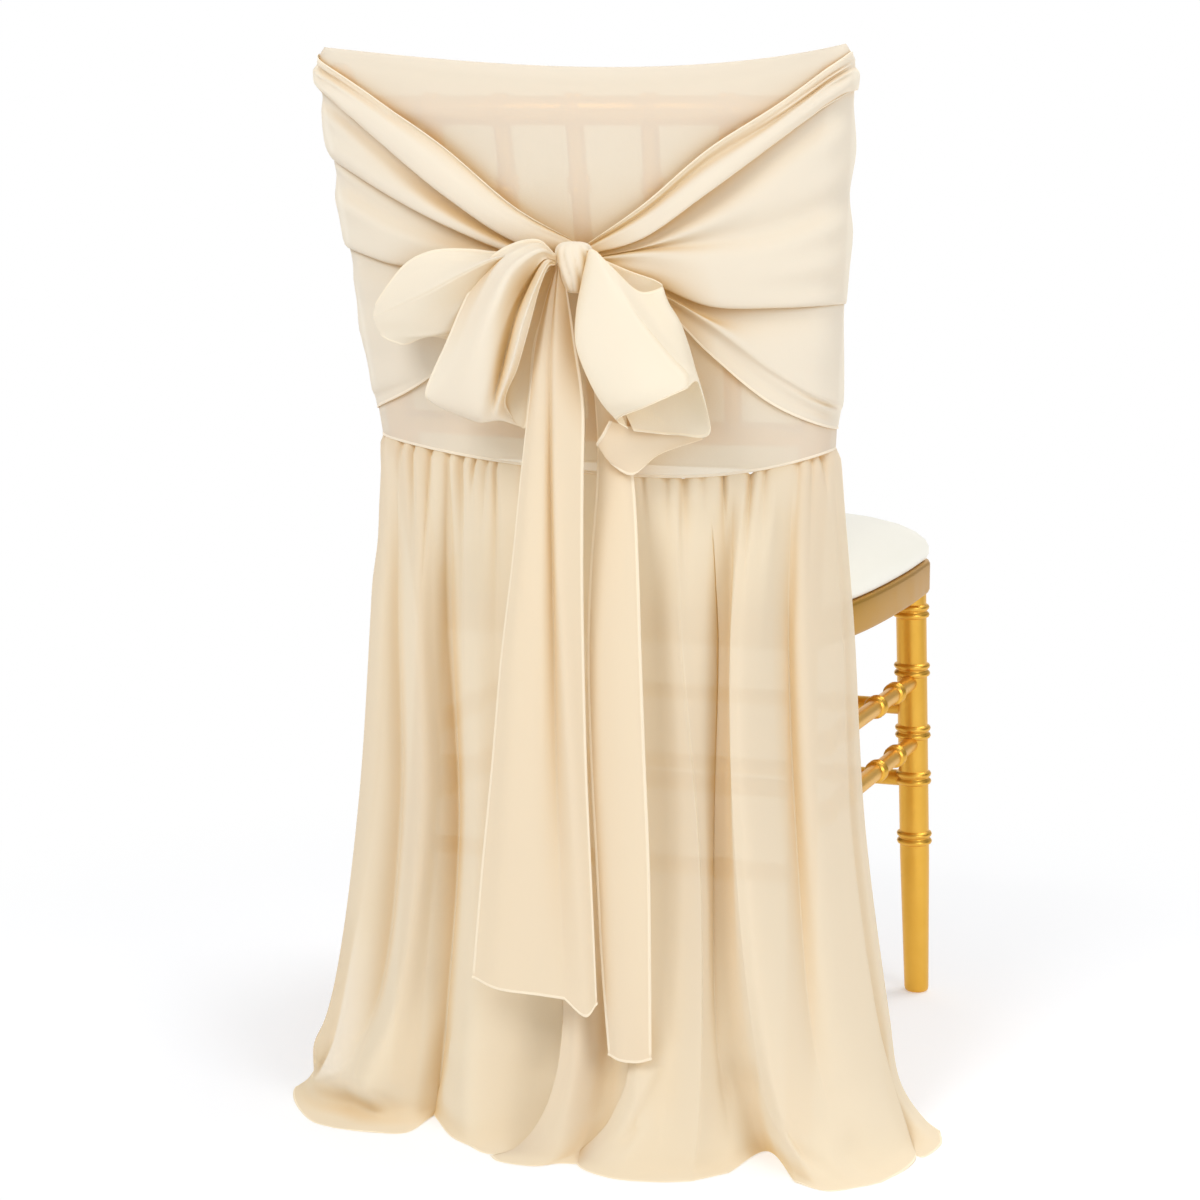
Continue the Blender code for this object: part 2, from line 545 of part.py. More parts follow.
def strip(node, stations, across, pleats, steps=2):
    """Strip of sash between its hems; pleats is how many lengthwise folds it carries."""
    keys = [[*first, *second, puff / 1000] for first, second, puff in stations]
    lines = smooth_through(keys, steps)
    first, second, puff = lines[:, 0:3], lines[:, 3:6], lines[:, 6]
    run = np.gradient((first + second) / 2, axis=0)
    out = np.cross(second - first, run)
    out /= np.linalg.norm(out, axis=1, keepdims=True)
    if out[0][1] > 0:
        out = -out
    grid = []
    for v in np.linspace(0, 1, across + 1):
        shape = puff * (4 * v * (1 - v) if not pleats else np.sin(np.pi * pleats * v))
        grid.append(first + (second - first) * v + out * shape[:, None])
    sheet(node, grid)


def sash():
    wing("sash_wing_left", WING_LEFT, -1)
    wing("sash_wing_right", WING_RIGHT, 1)
    knot()
    strip("loop_left_outer", LOOP_LEFT_OUTER, 5, 0)
    strip("loop_left_front", LOOP_LEFT_FRONT, 5, 0)
    strip("loop_right", LOOP_RIGHT, 5, 0)
    strip("flap_right", FLAP_RIGHT, 3, 0)
    strip("tail_left", TAIL_LEFT, 8, 4)
    strip("tail_right", TAIL_RIGHT, 6, 3)


# ---------------------------------------------------------------- the skirt

# Each row follows one ridge or valley down from the waist seam: where it starts along the seam
# (-1 and 1 are the side seams), then x and y at the seat, shin and ankle levels and at the hem.
SKIRT_LEVELS = (0.44, 0.26, 0.10)
SKIRT_FOLDS = (
    # fold             seam    seat             shin             ankle            hem
    ("left_edge",     -1.00, (-0.213, 0.000), (-0.222, 0.003), (-0.238, -0.010), (-0.256, -0.046)),
    ("left_turn",     -0.98, (-0.209, -0.040), (-0.220, -0.054), (-0.240, -0.066), (-0.262, -0.108)),
    ("left_bank",     -0.93, (-0.193, -0.056), (-0.196, -0.072), (-0.214, -0.098), (-0.225, -0.164)),
    ("left_valley",   -0.86, (-0.178, -0.050), (-0.174, -0.058), (-0.182, -0.086), (-0.188, -0.156)),
    ("left_ridge",    -0.73, (-0.146, -0.085), (-0.139, -0.102), (-0.154, -0.122), (-0.152, -0.172)),
    ("left_gully",    -0.62, (-0.128, -0.064), (-0.117, -0.072), (-0.121, -0.094), (-0.128, -0.106)),
    ("broad_left",    -0.48, (-0.098, -0.090), (-0.090, -0.102), (-0.092, -0.120), (-0.092, -0.156)),
    ("broad_middle",  -0.33, (-0.066, -0.100), (-0.062, -0.115), (-0.056, -0.134), (-0.048, -0.188)),
    ("broad_right",   -0.14, (-0.028, -0.094), (-0.024, -0.104), (-0.008, -0.128), (-0.014, -0.160)),
    ("middle_valley",  0.03, (0.006, -0.084), (0.012, -0.090), (0.020, -0.108), (0.016, -0.128)),
    ("middle_ridge",   0.20, (0.044, -0.098), (0.052, -0.112), (0.056, -0.132), (0.058, -0.186)),
    ("soft_dip",       0.31, (0.070, -0.094), (0.084, -0.106), (0.090, -0.128), (0.088, -0.190)),
    ("right_ridge",    0.42, (0.097, -0.118), (0.119, -0.134), (0.122, -0.146), (0.118, -0.196)),
    ("right_gully",    0.56, (0.118, -0.072), (0.124, -0.086), (0.136, -0.114), (0.158, -0.112)),
    ("sharp_ridge",    0.69, (0.141, -0.110), (0.152, -0.126), (0.176, -0.144), (0.214, -0.186)),
    ("right_valley",   0.84, (0.172, -0.046), (0.184, -0.062), (0.204, -0.096), (0.244, -0.178)),
    ("right_bank",     0.93, (0.194, -0.042), (0.206, -0.056), (0.232, -0.084), (0.272, -0.158)),
    ("right_turn",     0.98, (0.210, -0.012), (0.226, -0.022), (0.254, -0.034), (0.291, -0.094)),
    ("right_edge",     1.00, (0.211, 0.012), (0.227, 0.006), (0.260, -0.008), (0.303, -0.036)),
)
FALL_STEPS = (0.0, 0.06, 0.13, 0.22, 0.32, 0.43, 0.55, 0.67, 0.78, 0.88, 0.95, 1.0)


def skirt():
    """Gathered at the waist seam and lofted down its folds to a hem that lies on the floor."""
    lines = []
    for _, seam, *levels, hem in SKIRT_FOLDS:
        top = seam_z(seam) - SEAM_GAP
        start = wrap(seam, top, -1)
        knots = [hem, *reversed(levels), tuple(start[:2])]
        heights = [0.0, *reversed(SKIRT_LEVELS), top]
        line = []
        for fall in FALL_STEPS:
            z = top * (1 - fall)
            x, y = (settle(z, heights, [k[i] for k in knots]) for i in (0, 1))
            line.append((x, y, max(z, CHIFFON / 2)))
        lines.append(line)
    columns = smooth_through(np.array(lines), 3)
    sheet("skirt", columns.transpose(1, 0, 2))


def settle(z, heights, values):
    """Smooth value between levels: cubic with slopes eased at each level."""
    heights, values = np.array(heights), np.array(values)
    slopes = np.gradient(values, heights)
    i = int(np.clip(np.searchsorted(heights, z) - 1, 0, len(heights) - 2))
    span = heights[i + 1] - heights[i]
    t = (z - heights[i]) / span
    return ((2 * t ** 3 - 3 * t ** 2 + 1) * values[i] + (t ** 3 - 2 * t ** 2 + t) * span * slopes[i]
            + (3 * t ** 2 - 2 * t ** 3) * values[i + 1] + (t ** 3 - t ** 2) * span * slopes[i + 1])


clear_scene()
anchor = bpy.data.objects.new("set_down", None)
bpy.context.collection.objects.link(anchor)
anchor.location = SET_DOWN
rear_posts()
front_legs()
seat()
back_rails()
spindles()
stretchers()
hood_panels()
sash()
skirt()
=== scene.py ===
"""Chair cover with sash on a turned banquet chair, seen from behind its right-hand corner."""
from math import radians

import bpy
import numpy as np
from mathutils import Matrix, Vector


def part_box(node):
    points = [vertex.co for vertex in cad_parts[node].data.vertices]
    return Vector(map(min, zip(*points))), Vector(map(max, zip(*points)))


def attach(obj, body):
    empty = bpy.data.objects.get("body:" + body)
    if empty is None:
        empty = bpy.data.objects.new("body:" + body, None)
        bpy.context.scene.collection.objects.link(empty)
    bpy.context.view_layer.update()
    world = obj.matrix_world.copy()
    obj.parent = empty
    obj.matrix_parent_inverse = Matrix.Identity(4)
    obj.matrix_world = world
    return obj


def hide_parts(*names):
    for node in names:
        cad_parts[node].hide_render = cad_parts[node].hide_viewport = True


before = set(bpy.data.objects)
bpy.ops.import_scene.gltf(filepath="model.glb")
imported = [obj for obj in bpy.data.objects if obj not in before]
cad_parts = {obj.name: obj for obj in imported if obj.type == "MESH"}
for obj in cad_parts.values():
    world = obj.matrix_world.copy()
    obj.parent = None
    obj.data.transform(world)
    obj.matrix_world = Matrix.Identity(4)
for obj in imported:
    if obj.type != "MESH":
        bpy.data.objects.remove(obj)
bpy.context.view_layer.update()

# ======================================================================= the studio
# A pale seamless floor that runs out to a white surround, lit by large soft panels. Black flags
# stand to both sides, out of view.

KNOT_MIDDLE = (0.0165, -0.145, 0.742)       # measured from the floor point below the chair's back
knot_low, knot_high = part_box("sash_knot")
HERE = np.array((knot_low + knot_high) / 2) - KNOT_MIDDLE
HERE[2] = 0.0

EYE = (0.7741, -2.3209, 0.8708)
EYE_TURN, EYE_DIP = 18.716, 9.843
LENS_MM = 85.69


def linear(hexa):
    """sRGB hex to linear light."""
    values = [int(hexa[i:i + 2], 16) / 255 for i in (0, 2, 4)]
    values = [v / 12.92 if v <= 0.04045 else ((v + 0.055) / 1.055) ** 2.4 for v in values]
    return (*values, 1.0)


def add_node(tree, kind, links=(), **settings):
    """One shader node: settings are its properties, or its sockets where a name has a leading in_."""
    node = tree.nodes.new(kind)
    for name, value in settings.items():
        if name.startswith("in_"):
            socket = name[3:].replace("_", " ")
            node.inputs[int(socket) if socket.isdigit() else socket].default_value = value
        else:
            setattr(node, name, value)
    for socket, source in dict(links).items():
        tree.links.new(source, node.inputs[socket])
    return node


def new_material(name):
    """A named material with an empty tree and its output."""
    material = bpy.data.materials.new(name)
    material.use_nodes = True
    tree = material.node_tree
    tree.nodes.clear()
    return material, tree, tree.nodes.new("ShaderNodeOutputMaterial")


camera_data = bpy.data.cameras.new("view_from_behind")
camera_data.lens = LENS_MM
camera_data.sensor_width = 36
camera_data.clip_end = 50
camera = bpy.data.objects.new("view_from_behind", camera_data)
camera.location = HERE + EYE
camera.rotation_euler = (radians(90 - EYE_DIP), 0, radians(EYE_TURN))
bpy.context.scene.collection.objects.link(camera)
bpy.context.scene.camera = camera


def screen(name, size, place, tilt, turn):
    """Flat square screen of the set, laid level or tilted up and then turned."""
    bpy.ops.object.select_all(action="DESELECT")
    bpy.ops.mesh.primitive_plane_add(size=size, location=place, rotation=(radians(tilt), 0, radians(turn)))
    panel = bpy.context.object
    panel.name = name
    bpy.ops.object.transform_apply(location=True, rotation=True, scale=True)
    return panel


floor = screen("studio_floor", 24, (0, 4, -0.0004), 0, 0)
paper, tree, out = new_material("white_paper_sweep")
place = add_node(tree, "ShaderNodeTexCoord")
away = add_node(tree, "ShaderNodeVectorMath", {0: place.outputs["Object"]}, operation="LENGTH")
glare = add_node(tree, "ShaderNodeMapRange", {0: away.outputs["Value"]}, interpolation_type="SMOOTHSTEP",
                 in_1=0.28, in_2=1.1)
matt = add_node(tree, "ShaderNodeBsdfPrincipled", in_Base_Color=linear("DCDEE2"), in_Roughness=0.9,
                in_Emission_Color=(1, 1, 1, 1), in_Emission_Strength=0.34)
lit = add_node(tree, "ShaderNodeEmission", in_Color=(1, 1, 1, 1), in_Strength=1.0)
sweep = add_node(tree, "ShaderNodeMixShader", {0: glare.outputs[0], 1: matt.outputs[0], 2: lit.outputs[0]})
tree.links.new(sweep.outputs[0], out.inputs["Surface"])
floor.data.materials.append(paper)

backdrop = screen("lit_backdrop", 9, (-2.6, 9, 2.0), 90, 18)
glow, tree, out = new_material("lit_white_backdrop")
lit = add_node(tree, "ShaderNodeEmission", in_Color=(1, 1, 1, 1), in_Strength=1.0)
tree.links.new(lit.outputs[0], out.inputs["Surface"])
backdrop.data.materials.append(glow)


def flag(name, place, turn):
    """Black cloth on a stand beside the set, which gives bright metal its dark edges."""
    panel = screen(name, 2.2, HERE + place, 90, turn)
    felt, tree, out = new_material(name + "_felt")
    shader = add_node(tree, "ShaderNodeBsdfDiffuse", in_Color=linear("101010"))
    tree.links.new(shader.outputs[0], out.inputs["Surface"])
    panel.data.materials.append(felt)


flag("flag_left", (-3.0, 1.6, 1.1), 60)
flag("flag_right", (3.1, 1.2, 1.1), -70)

WORLD_FILL = 0.44                           # strength of the light that comes from all round
world = bpy.data.worlds.new("white_surround")
world.use_nodes = True
bpy.context.scene.world = world
tree = world.node_tree
tree.nodes.clear()
fill = add_node(tree, "ShaderNodeBackground", in_Color=(1, 1, 1, 1), in_Strength=WORLD_FILL)
add_node(tree, "ShaderNodeOutputWorld", {"Surface": fill.outputs[0]})


def softbox(name, place, aim, size, watts):
    """Large square panel light at place, turned to aim."""
    data = bpy.data.lights.new(name, "AREA")
    data.size = size
    data.energy = watts
    panel = bpy.data.objects.new(name, data)
    panel.location = HERE + place
    run = panel.location - type(panel.location)(HERE + aim)
    panel.rotation_euler = run.to_track_quat("Z", "Y").to_euler()
    bpy.context.scene.collection.objects.link(panel)


softbox("key_panel", (-0.7, -2.4, 2.6), (0.0, 0.0, 0.5), 1.4, 57)
softbox("seat_panel", (1.0, 1.0, 2.5), (0.0, 0.1, 0.4), 1.2, 22)
softbox("right_panel", (2.4, -1.6, 1.3), (0.0, 0.0, 0.4), 1.4, 29)

bpy.context.scene.view_settings.view_transform = "Standard"


# ======================================================================= the chair's turned frame
# Beech sticks turned with double bamboo rings, glued up and sprayed in satin gold lacquer. Two
# raked rear posts carry a bowed rail with five spindles; the front legs taper to plain feet.

SEAT_LEVEL, POST_TOP = 0.420, 0.905
POST_RADIUS = 0.013
FRAME_BOTTOM, FRAME_TOP = 0.408, 0.440
LEG_TOP, LEG_FOOT = (0.1862, 0.3498, 0.4077), (0.1930, 0.3790, 0.0)
RING_RISE, RING_SPREAD = 0.0030, 0.0035
RAIL_Z, LOW_RAIL_Z = 0.866, 0.600
RAIL_BOW, LOW_RAIL_BOW = 0.0305, 0.022
SPINDLE_X = (-0.125, -0.061, 0.003, 0.066, 0.129)
POST_SEAT_X, SPREAD_TOP, SPREAD_FOOT = 0.170, 0.042, 0.014
RAKE_TOP, RAKE_FOOT = 0.090, 0.045
SWEEP_TOP, SWEEP_FOOT = 1.25, 1.3           # powers of the rake above and below the seat


def from_seat(z):
    """Shares of the way from the seat up to a post's top, and down to its foot."""
    return max((z - SEAT_LEVEL) / (POST_TOP - SEAT_LEVEL), 0), max((SEAT_LEVEL - z) / SEAT_LEVEL, 0)


def post_x(z):
    """How far a post's axis stands to its side at height z."""
    above, below = from_seat(z)
    return POST_SEAT_X + SPREAD_TOP * above + SPREAD_FOOT * below


def post_y(z):
    """How far forward a post's axis stands at height z: the rake, back above and below the seat."""
    above, below = from_seat(z)
    return -RAKE_TOP * above ** SWEEP_TOP - RAKE_FOOT * below ** SWEEP_FOOT


def gold_lacquer(name, dark, light):
    """Satin gold lacquer over turned wood: a metallic coat with a faint brushed unevenness."""
    material, tree, out = new_material(name)
    spray_mm, grit_mm = 26, 1.1             # spray passes, and the flake in the lacquer
    place = add_node(tree, "ShaderNodeTexCoord")
    cloud = add_node(tree, "ShaderNodeTexNoise", {"Vector": place.outputs["Object"]},
                     in_Scale=1000 / spray_mm, in_Detail=3.0)
    tone = add_node(tree, "ShaderNodeMix", {0: cloud.outputs["Fac"]}, data_type="RGBA",
                    in_6=linear(dark), in_7=linear(light))
    grit = add_node(tree, "ShaderNodeTexNoise", {"Vector": place.outputs["Object"]},
                    in_Scale=1000 / grit_mm, in_Detail=2.0)
    bump = add_node(tree, "ShaderNodeBump", {"Height": grit.outputs["Fac"]},
                    in_Strength=0.06, in_Distance=0.0004)
    rough = add_node(tree, "ShaderNodeMapRange", {"Value": cloud.outputs["Fac"]},
                     in_3=0.30, in_4=0.42)
    shader = add_node(tree, "ShaderNodeBsdfPrincipled",
                      {"Base Color": tone.outputs[2], "Roughness": rough.outputs[0],
                       "Normal": bump.outputs[0]}, in_Metallic=0.82)
    tree.links.new(shader.outputs[0], out.inputs["Surface"])
    return material


GOLD = gold_lacquer("satin_gold_lacquer", "E3AC40", "EEBB52")

# Half of a double ring: how far along from its middle, then how high, as shares of spread and rise.
HALF_RING = ((0.2, 0.3), (0.6, 0.8), (1.1, 1.0), (1.6, 0.75), (1.85, 0.25), (2.0, 0.0))
RING_WAIST = (0.0, 0.2)


def ring_profile(start, end, radius, end_radius, rings):
    """(distance, radius) pairs of a turned stick with double rounded rings."""
    pairs = [(start, radius)]
    way = RING_SPREAD if end > start else -RING_SPREAD
    double_ring = [(-shift, rise) for shift, rise in reversed(HALF_RING)] + [RING_WAIST, *HALF_RING]
    for place in rings:
        here = radius + (end_radius - radius) * (place - start) / (end - start)
        pairs += [(place + shift * way, here + rise * RING_RISE) for shift, rise in double_ring]
    return pairs + [(end, end_radius)]


def turned(name, stations, sides=28):
    """Stick turned on the lathe: a disc extruded from station to station (x, y, z, radius)."""
    bpy.ops.object.select_all(action="DESELECT")
    x, y, z, radius = stations[0]
    bpy.ops.mesh.primitive_circle_add(vertices=sides, radius=radius, fill_type="NGON",
                                      location=(x, y, z))
    stick = bpy.context.object
    stick.name = stick.data.name = name
    bpy.ops.object.transform_apply(location=True, rotation=True, scale=True)
    bpy.ops.object.mode_set(mode="EDIT")
    bpy.ops.mesh.select_all(action="SELECT")
    for before, after in zip(stations, stations[1:]):
        step = [after[i] - before[i] for i in range(3)]
        grow = after[3] / before[3]
        bpy.ops.mesh.extrude_region_move(TRANSFORM_OT_translate={"value": step})
        bpy.ops.transform.resize(value=(grow, grow, 1), center_override=after[:3])
    bpy.ops.mesh.select_all(action="SELECT")
    bpy.ops.mesh.normals_make_consistent(inside=False)
    bpy.ops.object.mode_set(mode="OBJECT")
    bpy.ops.object.shade_smooth_by_angle(angle=radians(50))
    return stick


def pick(piece):
    """Makes the piece the only one selected, and the active one."""
    bpy.ops.object.select_all(action="DESELECT")
    piece.select_set(True)
    bpy.context.view_layer.objects.active = piece


def settle_down(piece):
    """Bakes the piece's place into its mesh, so that its object sits at the origin."""
    pick(piece)
    bpy.ops.object.transform_apply(location=True, rotation=True, scale=True)


def fit(piece, node, material):
    """Gives a finished piece its material, hangs it on the root body and hides the solid it stands for."""
    piece.data.materials.clear()
    piece.data.materials.append(material)
    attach(piece, "root")
    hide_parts(node)


def lay_along(stick, start, end):
    """Turns a stick made upright at the origin to run from start towards end."""
    run = np.subtract(end, start)
    stick.location = HERE + start
    stick.rotation_mode = "QUATERNION"
    stick.rotation_quaternion = type(stick.location)(run).to_track_quat("Z", "Y")
    settle_down(stick)


def mirrored(stick, name):
    """The same stick for the other side, with its own mesh."""
    twin = stick.copy()
    twin.data = stick.data.copy()
    twin.name = twin.data.name = name
    bpy.context.scene.collection.objects.link(twin)
    pick(twin)
    bpy.ops.object.mode_set(mode="EDIT")
    bpy.ops.mesh.select_all(action="SELECT")
    bpy.ops.transform.resize(value=(-1, 1, 1), center_override=(HERE[0], 0, 0))
    bpy.ops.mesh.normals_make_consistent(inside=False)
    bpy.ops.object.mode_set(mode="OBJECT")
    return twin


def rear_post():
    """Raked post with an eased foot and a rounded top."""
    levels = (0.0, 0.0015, 0.05, 0.10, 0.15, 0.20, 0.26, 0.31, 0.36, 0.42, 0.48, 0.54, 0.60, 0.66,
              0.72, 0.78, 0.84, 0.885, 0.892, 0.898, 0.902, POST_TOP)
    radii = (0.0108, 0.0118) + (0.0124,) + (POST_RADIUS,) * 15 + (0.0122, 0.0105, 0.0082, 0.0045)
    return turned("rear_post", [(HERE[0] + post_x(z), HERE[1] + post_y(z), z, r)
                                for z, r in zip(levels, radii)])


LEG_RADIUS, LEG_WAIST = 0.0147, 0.0143      # the leg tapers to its waist, then faster to its foot
LEG_WAIST_Z = 0.140
LEG_RINGS = (0.3890, 0.3305, 0.268, 0.2215, 0.160)
LEG_FOOT_EASE = ((0.004, 0.0120), (0.0012, 0.0114), (0.0, 0.0100))      # height, radius


def leg_xy(z):
    """Where the right front leg's axis stands at height z."""
    t = (LEG_TOP[2] - z) / LEG_TOP[2]
    return [LEG_TOP[i] + (LEG_FOOT[i] - LEG_TOP[i]) * t for i in (0, 1)]


def front_leg():
    """Front leg with its double rings, tapered below the last of them."""
    pairs = ring_profile(LEG_TOP[2], LEG_WAIST_Z, LEG_RADIUS, LEG_WAIST, LEG_RINGS) + [*LEG_FOOT_EASE]
    return turned("front_leg", [(*(HERE[:2] + leg_xy(z)), z, radius) for z, radius in pairs])


for maker, node in ((rear_post, "rear_post_"), (front_leg, "front_leg_")):
    right = maker()
    right.name = right.data.name = "turned_" + node + "right"
    left = mirrored(right, "turned_" + node + "left")
    fit(right, node + "right", GOLD)
    fit(left, node + "left", GOLD)


STRETCHER_RADIUS, STRETCHER_TUCK = 0.0078, 0.010
STRETCHER_RINGS, SHORT_RINGS = (0.18, 0.36, 0.64, 0.82), (0.2, 0.8)     # places as shares of the length


def ringed_stick(node, start, end, radius, tuck, rings):
    """Thin ringed stick let into the two members whose axes it joins."""
    length = float(np.linalg.norm(np.subtract(end, start)))
    pairs = ring_profile(tuck, length - tuck, radius, radius, [length * r for r in rings])
    stick = turned("turned_" + node, [(0, 0, d, r) for d, r in pairs], sides=20)
    lay_along(stick, start, end)
    fit(stick, node, GOLD)


for level, z in (("upper", 0.3185), ("lower", 0.2570)):
    for side, word in ((-1, "left"), (1, "right")):
        leg_x, leg_y = leg_xy(z)
        ringed_stick("side_stretcher_%s_%s" % (word, level), (side * post_x(z), post_y(z), z),
                     (side * leg_x, leg_y, z), STRETCHER_RADIUS, STRETCHER_TUCK, STRETCHER_RINGS)
for level, z in (("upper", 0.292), ("lower", 0.2195)):
    for end, (x, y) in (("front", leg_xy(z)), ("rear", (post_x(z), post_y(z)))):
        ringed_stick("%s_stretcher_%s" % (end, level), (-x, y, z), (x, y, z),
                     STRETCHER_RADIUS, STRETCHER_TUCK, SHORT_RINGS)

RAIL_TUCK, RAIL_STEPS = 0.006, 40
RING_ROOM = 0.011                           # half of what a double ring takes up, and a little more


def back_rail(node, z, radius, bow, rings):
    """Rail bowed back between the posts: drawn upright, then laid across."""
    half = post_x(z)
    pairs = ring_profile(-half + RAIL_TUCK, half - RAIL_TUCK, radius, radius, rings)
    dense = sorted(set(pairs) | {(x, radius) for x in np.linspace(-half + 0.01, half - 0.01, RAIL_STEPS)
                                 if min([abs(x - r) for r in rings] + [1]) > RING_ROOM})
    stations = [(0, -bow * (1 - (x / half) ** 2), x, r) for x, r in dense]
    stick = turned("turned_" + node, stations, sides=24)
    stick.location = HERE + (0, post_y(z), z)
    stick.rotation_euler = (0, radians(90), 0)
    settle_down(stick)
    fit(stick, node, GOLD)


back_rail("top_rail", RAIL_Z, 0.012, RAIL_BOW, SPINDLE_X)
back_rail("lower_back_rail", LOW_RAIL_Z, 0.010, LOW_RAIL_BOW, ())

SPINDLE_RADIUS, SPINDLE_TUCK = 0.0075, 0.006
SPINDLE_RINGS = (0.100, 0.212)              # up from the lower rail
SPINDLE_DRAW = 0.92                         # the spindles close in towards the lower rail
for number, x in enumerate(SPINDLE_X, 1):
    low_x = SPINDLE_DRAW * x
    foot = (low_x, post_y(LOW_RAIL_Z) - LOW_RAIL_BOW * (1 - (low_x / post_x(LOW_RAIL_Z)) ** 2), LOW_RAIL_Z)
    head = (x, post_y(RAIL_Z) - RAIL_BOW * (1 - (x / post_x(RAIL_Z)) ** 2), RAIL_Z)
    length = float(np.linalg.norm(np.subtract(head, foot)))
    ringed_stick("spindle_%d" % number, foot, head, SPINDLE_RADIUS, SPINDLE_TUCK,
                 [place / length for place in SPINDLE_RINGS])


# ======================================================================= the padded seat
# A gold seat ring on the legs, and on it a foam pad pulled over with ivory vinyl and stapled
# under: a low crowned cushion, tight at its edge, that shows a dark line where it meets the ring.

SEAT_HALF, SEAT_REAR_HALF = 0.206, 0.178
SEAT_REAR, SEAT_FRONT, SEAT_CORNER = 0.0133, 0.388, 0.050
SEAT_SIDE = ((0.35, 0.0090), (0.75, 0.0005))    # share of the way to the front, in from full width


def seat_plan(inset, level, steps=12):
    """Outline of the seat drawn in by inset: straight back, easy sides, round front corners."""
    half, rear_half = SEAT_HALF - inset, SEAT_REAR_HALF - inset
    rear, front, corner = SEAT_REAR + inset, SEAT_FRONT - inset, SEAT_CORNER + inset / 2
    side = front - corner - rear
    right = [(rear_half, rear)] + [(half - taper, rear + share * side) for share, taper in SEAT_SIDE]
    right = [tuple(p) for p in spline(np.array(right + [(half, front - corner)]), 6)[:-1]]
    for turn in np.linspace(0, np.pi / 2, steps):
        right.append((half - corner + corner * np.cos(turn), front - corner + corner * np.sin(turn)))
    left = [(-x, y) for x, y in reversed(right)]
    return np.array([(x, y, level) for x, y in right + left])


def spline(keys, steps):
    """Smooth curve through the rows of keys, spaced by their distances so that it never loops."""
    keys = np.asarray(keys, float)
    flat = keys.reshape(len(keys), -1)
    gap = np.sqrt(np.linalg.norm(np.diff(flat, axis=0), axis=1)) + 1e-9
    place = np.concatenate([[0], np.cumsum(gap)])
    slope = np.empty_like(flat)
    chord = np.diff(flat, axis=0) / gap[:, None]
    slope[0], slope[-1] = chord[0], chord[-1]
    weight = (gap[1:] / (gap[:-1] + gap[1:]))[:, None]
    slope[1:-1] = chord[:-1] * weight + chord[1:] * (1 - weight)
    rows = []
    for i, width in enumerate(gap):
        for t in np.arange(steps) / steps:
            rows.append((2 * t ** 3 - 3 * t ** 2 + 1) * flat[i] + (t ** 3 - 2 * t ** 2 + t) * width * slope[i]
                        + (3 * t ** 2 - 2 * t ** 3) * flat[i + 1] + (t ** 3 - t ** 2) * width * slope[i + 1])
    rows.append(flat[-1])
    return np.array(rows).reshape((-1,) + keys.shape[1:])


def mesh_piece(name, points, faces):
    """Smooth piece of the given points, measured from the floor point, and faces."""
    mesh = bpy.data.meshes.new(name)
    mesh.from_pydata((points + HERE).tolist(), [], faces)
    mesh.shade_smooth()
    piece = bpy.data.objects.new(name, mesh)
    bpy.context.scene.collection.objects.link(piece)
    return piece


def stacked(name, layers):
    """Closed body from like outlines stacked one above the other."""
    count = len(layers[0])
    points = np.concatenate(layers)
    faces = [tuple(range(count))[::-1], tuple(range(len(points) - count, len(points)))]
    for i in range(len(layers) - 1):
        for j in range(count):
            a, b = i * count + j, i * count + (j + 1) % count
            faces.append((a, b, b + count, a + count))
    return mesh_piece(name, points, faces)


def ivory_vinyl():
    """Ivory upholstery vinyl: even, with a fine pressed grain and a low soft sheen."""
    material, tree, out = new_material("ivory_upholstery_vinyl")
    grain_mm, cloud_mm = 1.3, 110
    place = add_node(tree, "ShaderNodeTexCoord")
    grain = add_node(tree, "ShaderNodeTexVoronoi", {"Vector": place.outputs["Object"]},
                     in_Scale=1000 / grain_mm)
    bump = add_node(tree, "ShaderNodeBump", {"Height": grain.outputs["Distance"]},
                    in_Strength=0.10, in_Distance=0.0003)
    cloud = add_node(tree, "ShaderNodeTexNoise", {"Vector": place.outputs["Object"]},
                     in_Scale=1000 / cloud_mm)
    tone = add_node(tree, "ShaderNodeMix", {0: cloud.outputs["Fac"]}, data_type="RGBA",
                    in_6=linear("F6F3E6"), in_7=linear("FAF7EC"))
    shader = add_node(tree, "ShaderNodeBsdfPrincipled",
                      {"Base Color": tone.outputs[2], "Normal": bump.outputs[0]}, in_Roughness=0.48)
    tree.links.new(shader.outputs[0], out.inputs["Surface"])
    return material


ring = stacked("seat_ring", [seat_plan(0.004, FRAME_BOTTOM), seat_plan(0.001, FRAME_BOTTOM + 0.0012),
                             seat_plan(0.0, FRAME_BOTTOM + 0.004), seat_plan(0.0, FRAME_TOP - 0.004),
                             seat_plan(0.001, FRAME_TOP - 0.0012), seat_plan(0.004, FRAME_TOP)])
ring.data.set_sharp_from_angle(angle=radians(60))
# The seat ring's copy of the gold lacquer is painted darker than the frame's: painted shade on the same
# paint.
fit(ring, "seat_frame", gold_lacquer("sprayed_gold_seat_ring_painted_shade", "B98712", "C6921E"))

# How far the pad's outline is drawn in, and how high it stands there above the ring.
SEAT_CROWN = ((0.006, 0.0000), (0.003, 0.0020), (0.0012, 0.0060), (0.0012, 0.0120), (0.0035, 0.0185),
              (0.010, 0.0262), (0.020, 0.0335), (0.034, 0.0398), (0.050, 0.0445), (0.068, 0.0483),
              (0.090, 0.0512))
pad = stacked("seat_cushion", [seat_plan(inset, FRAME_TOP + 0.0003 + rise) for inset, rise in SEAT_CROWN])
fit(pad, "seat_pad", ivory_vinyl())


# ======================================================================= the hood
# Two panels of champagne chiffon, seamed at the sides and top, that slip over the chair back like
# a pocket. The cloth is sheer: the rail and spindles show through one layer of it.

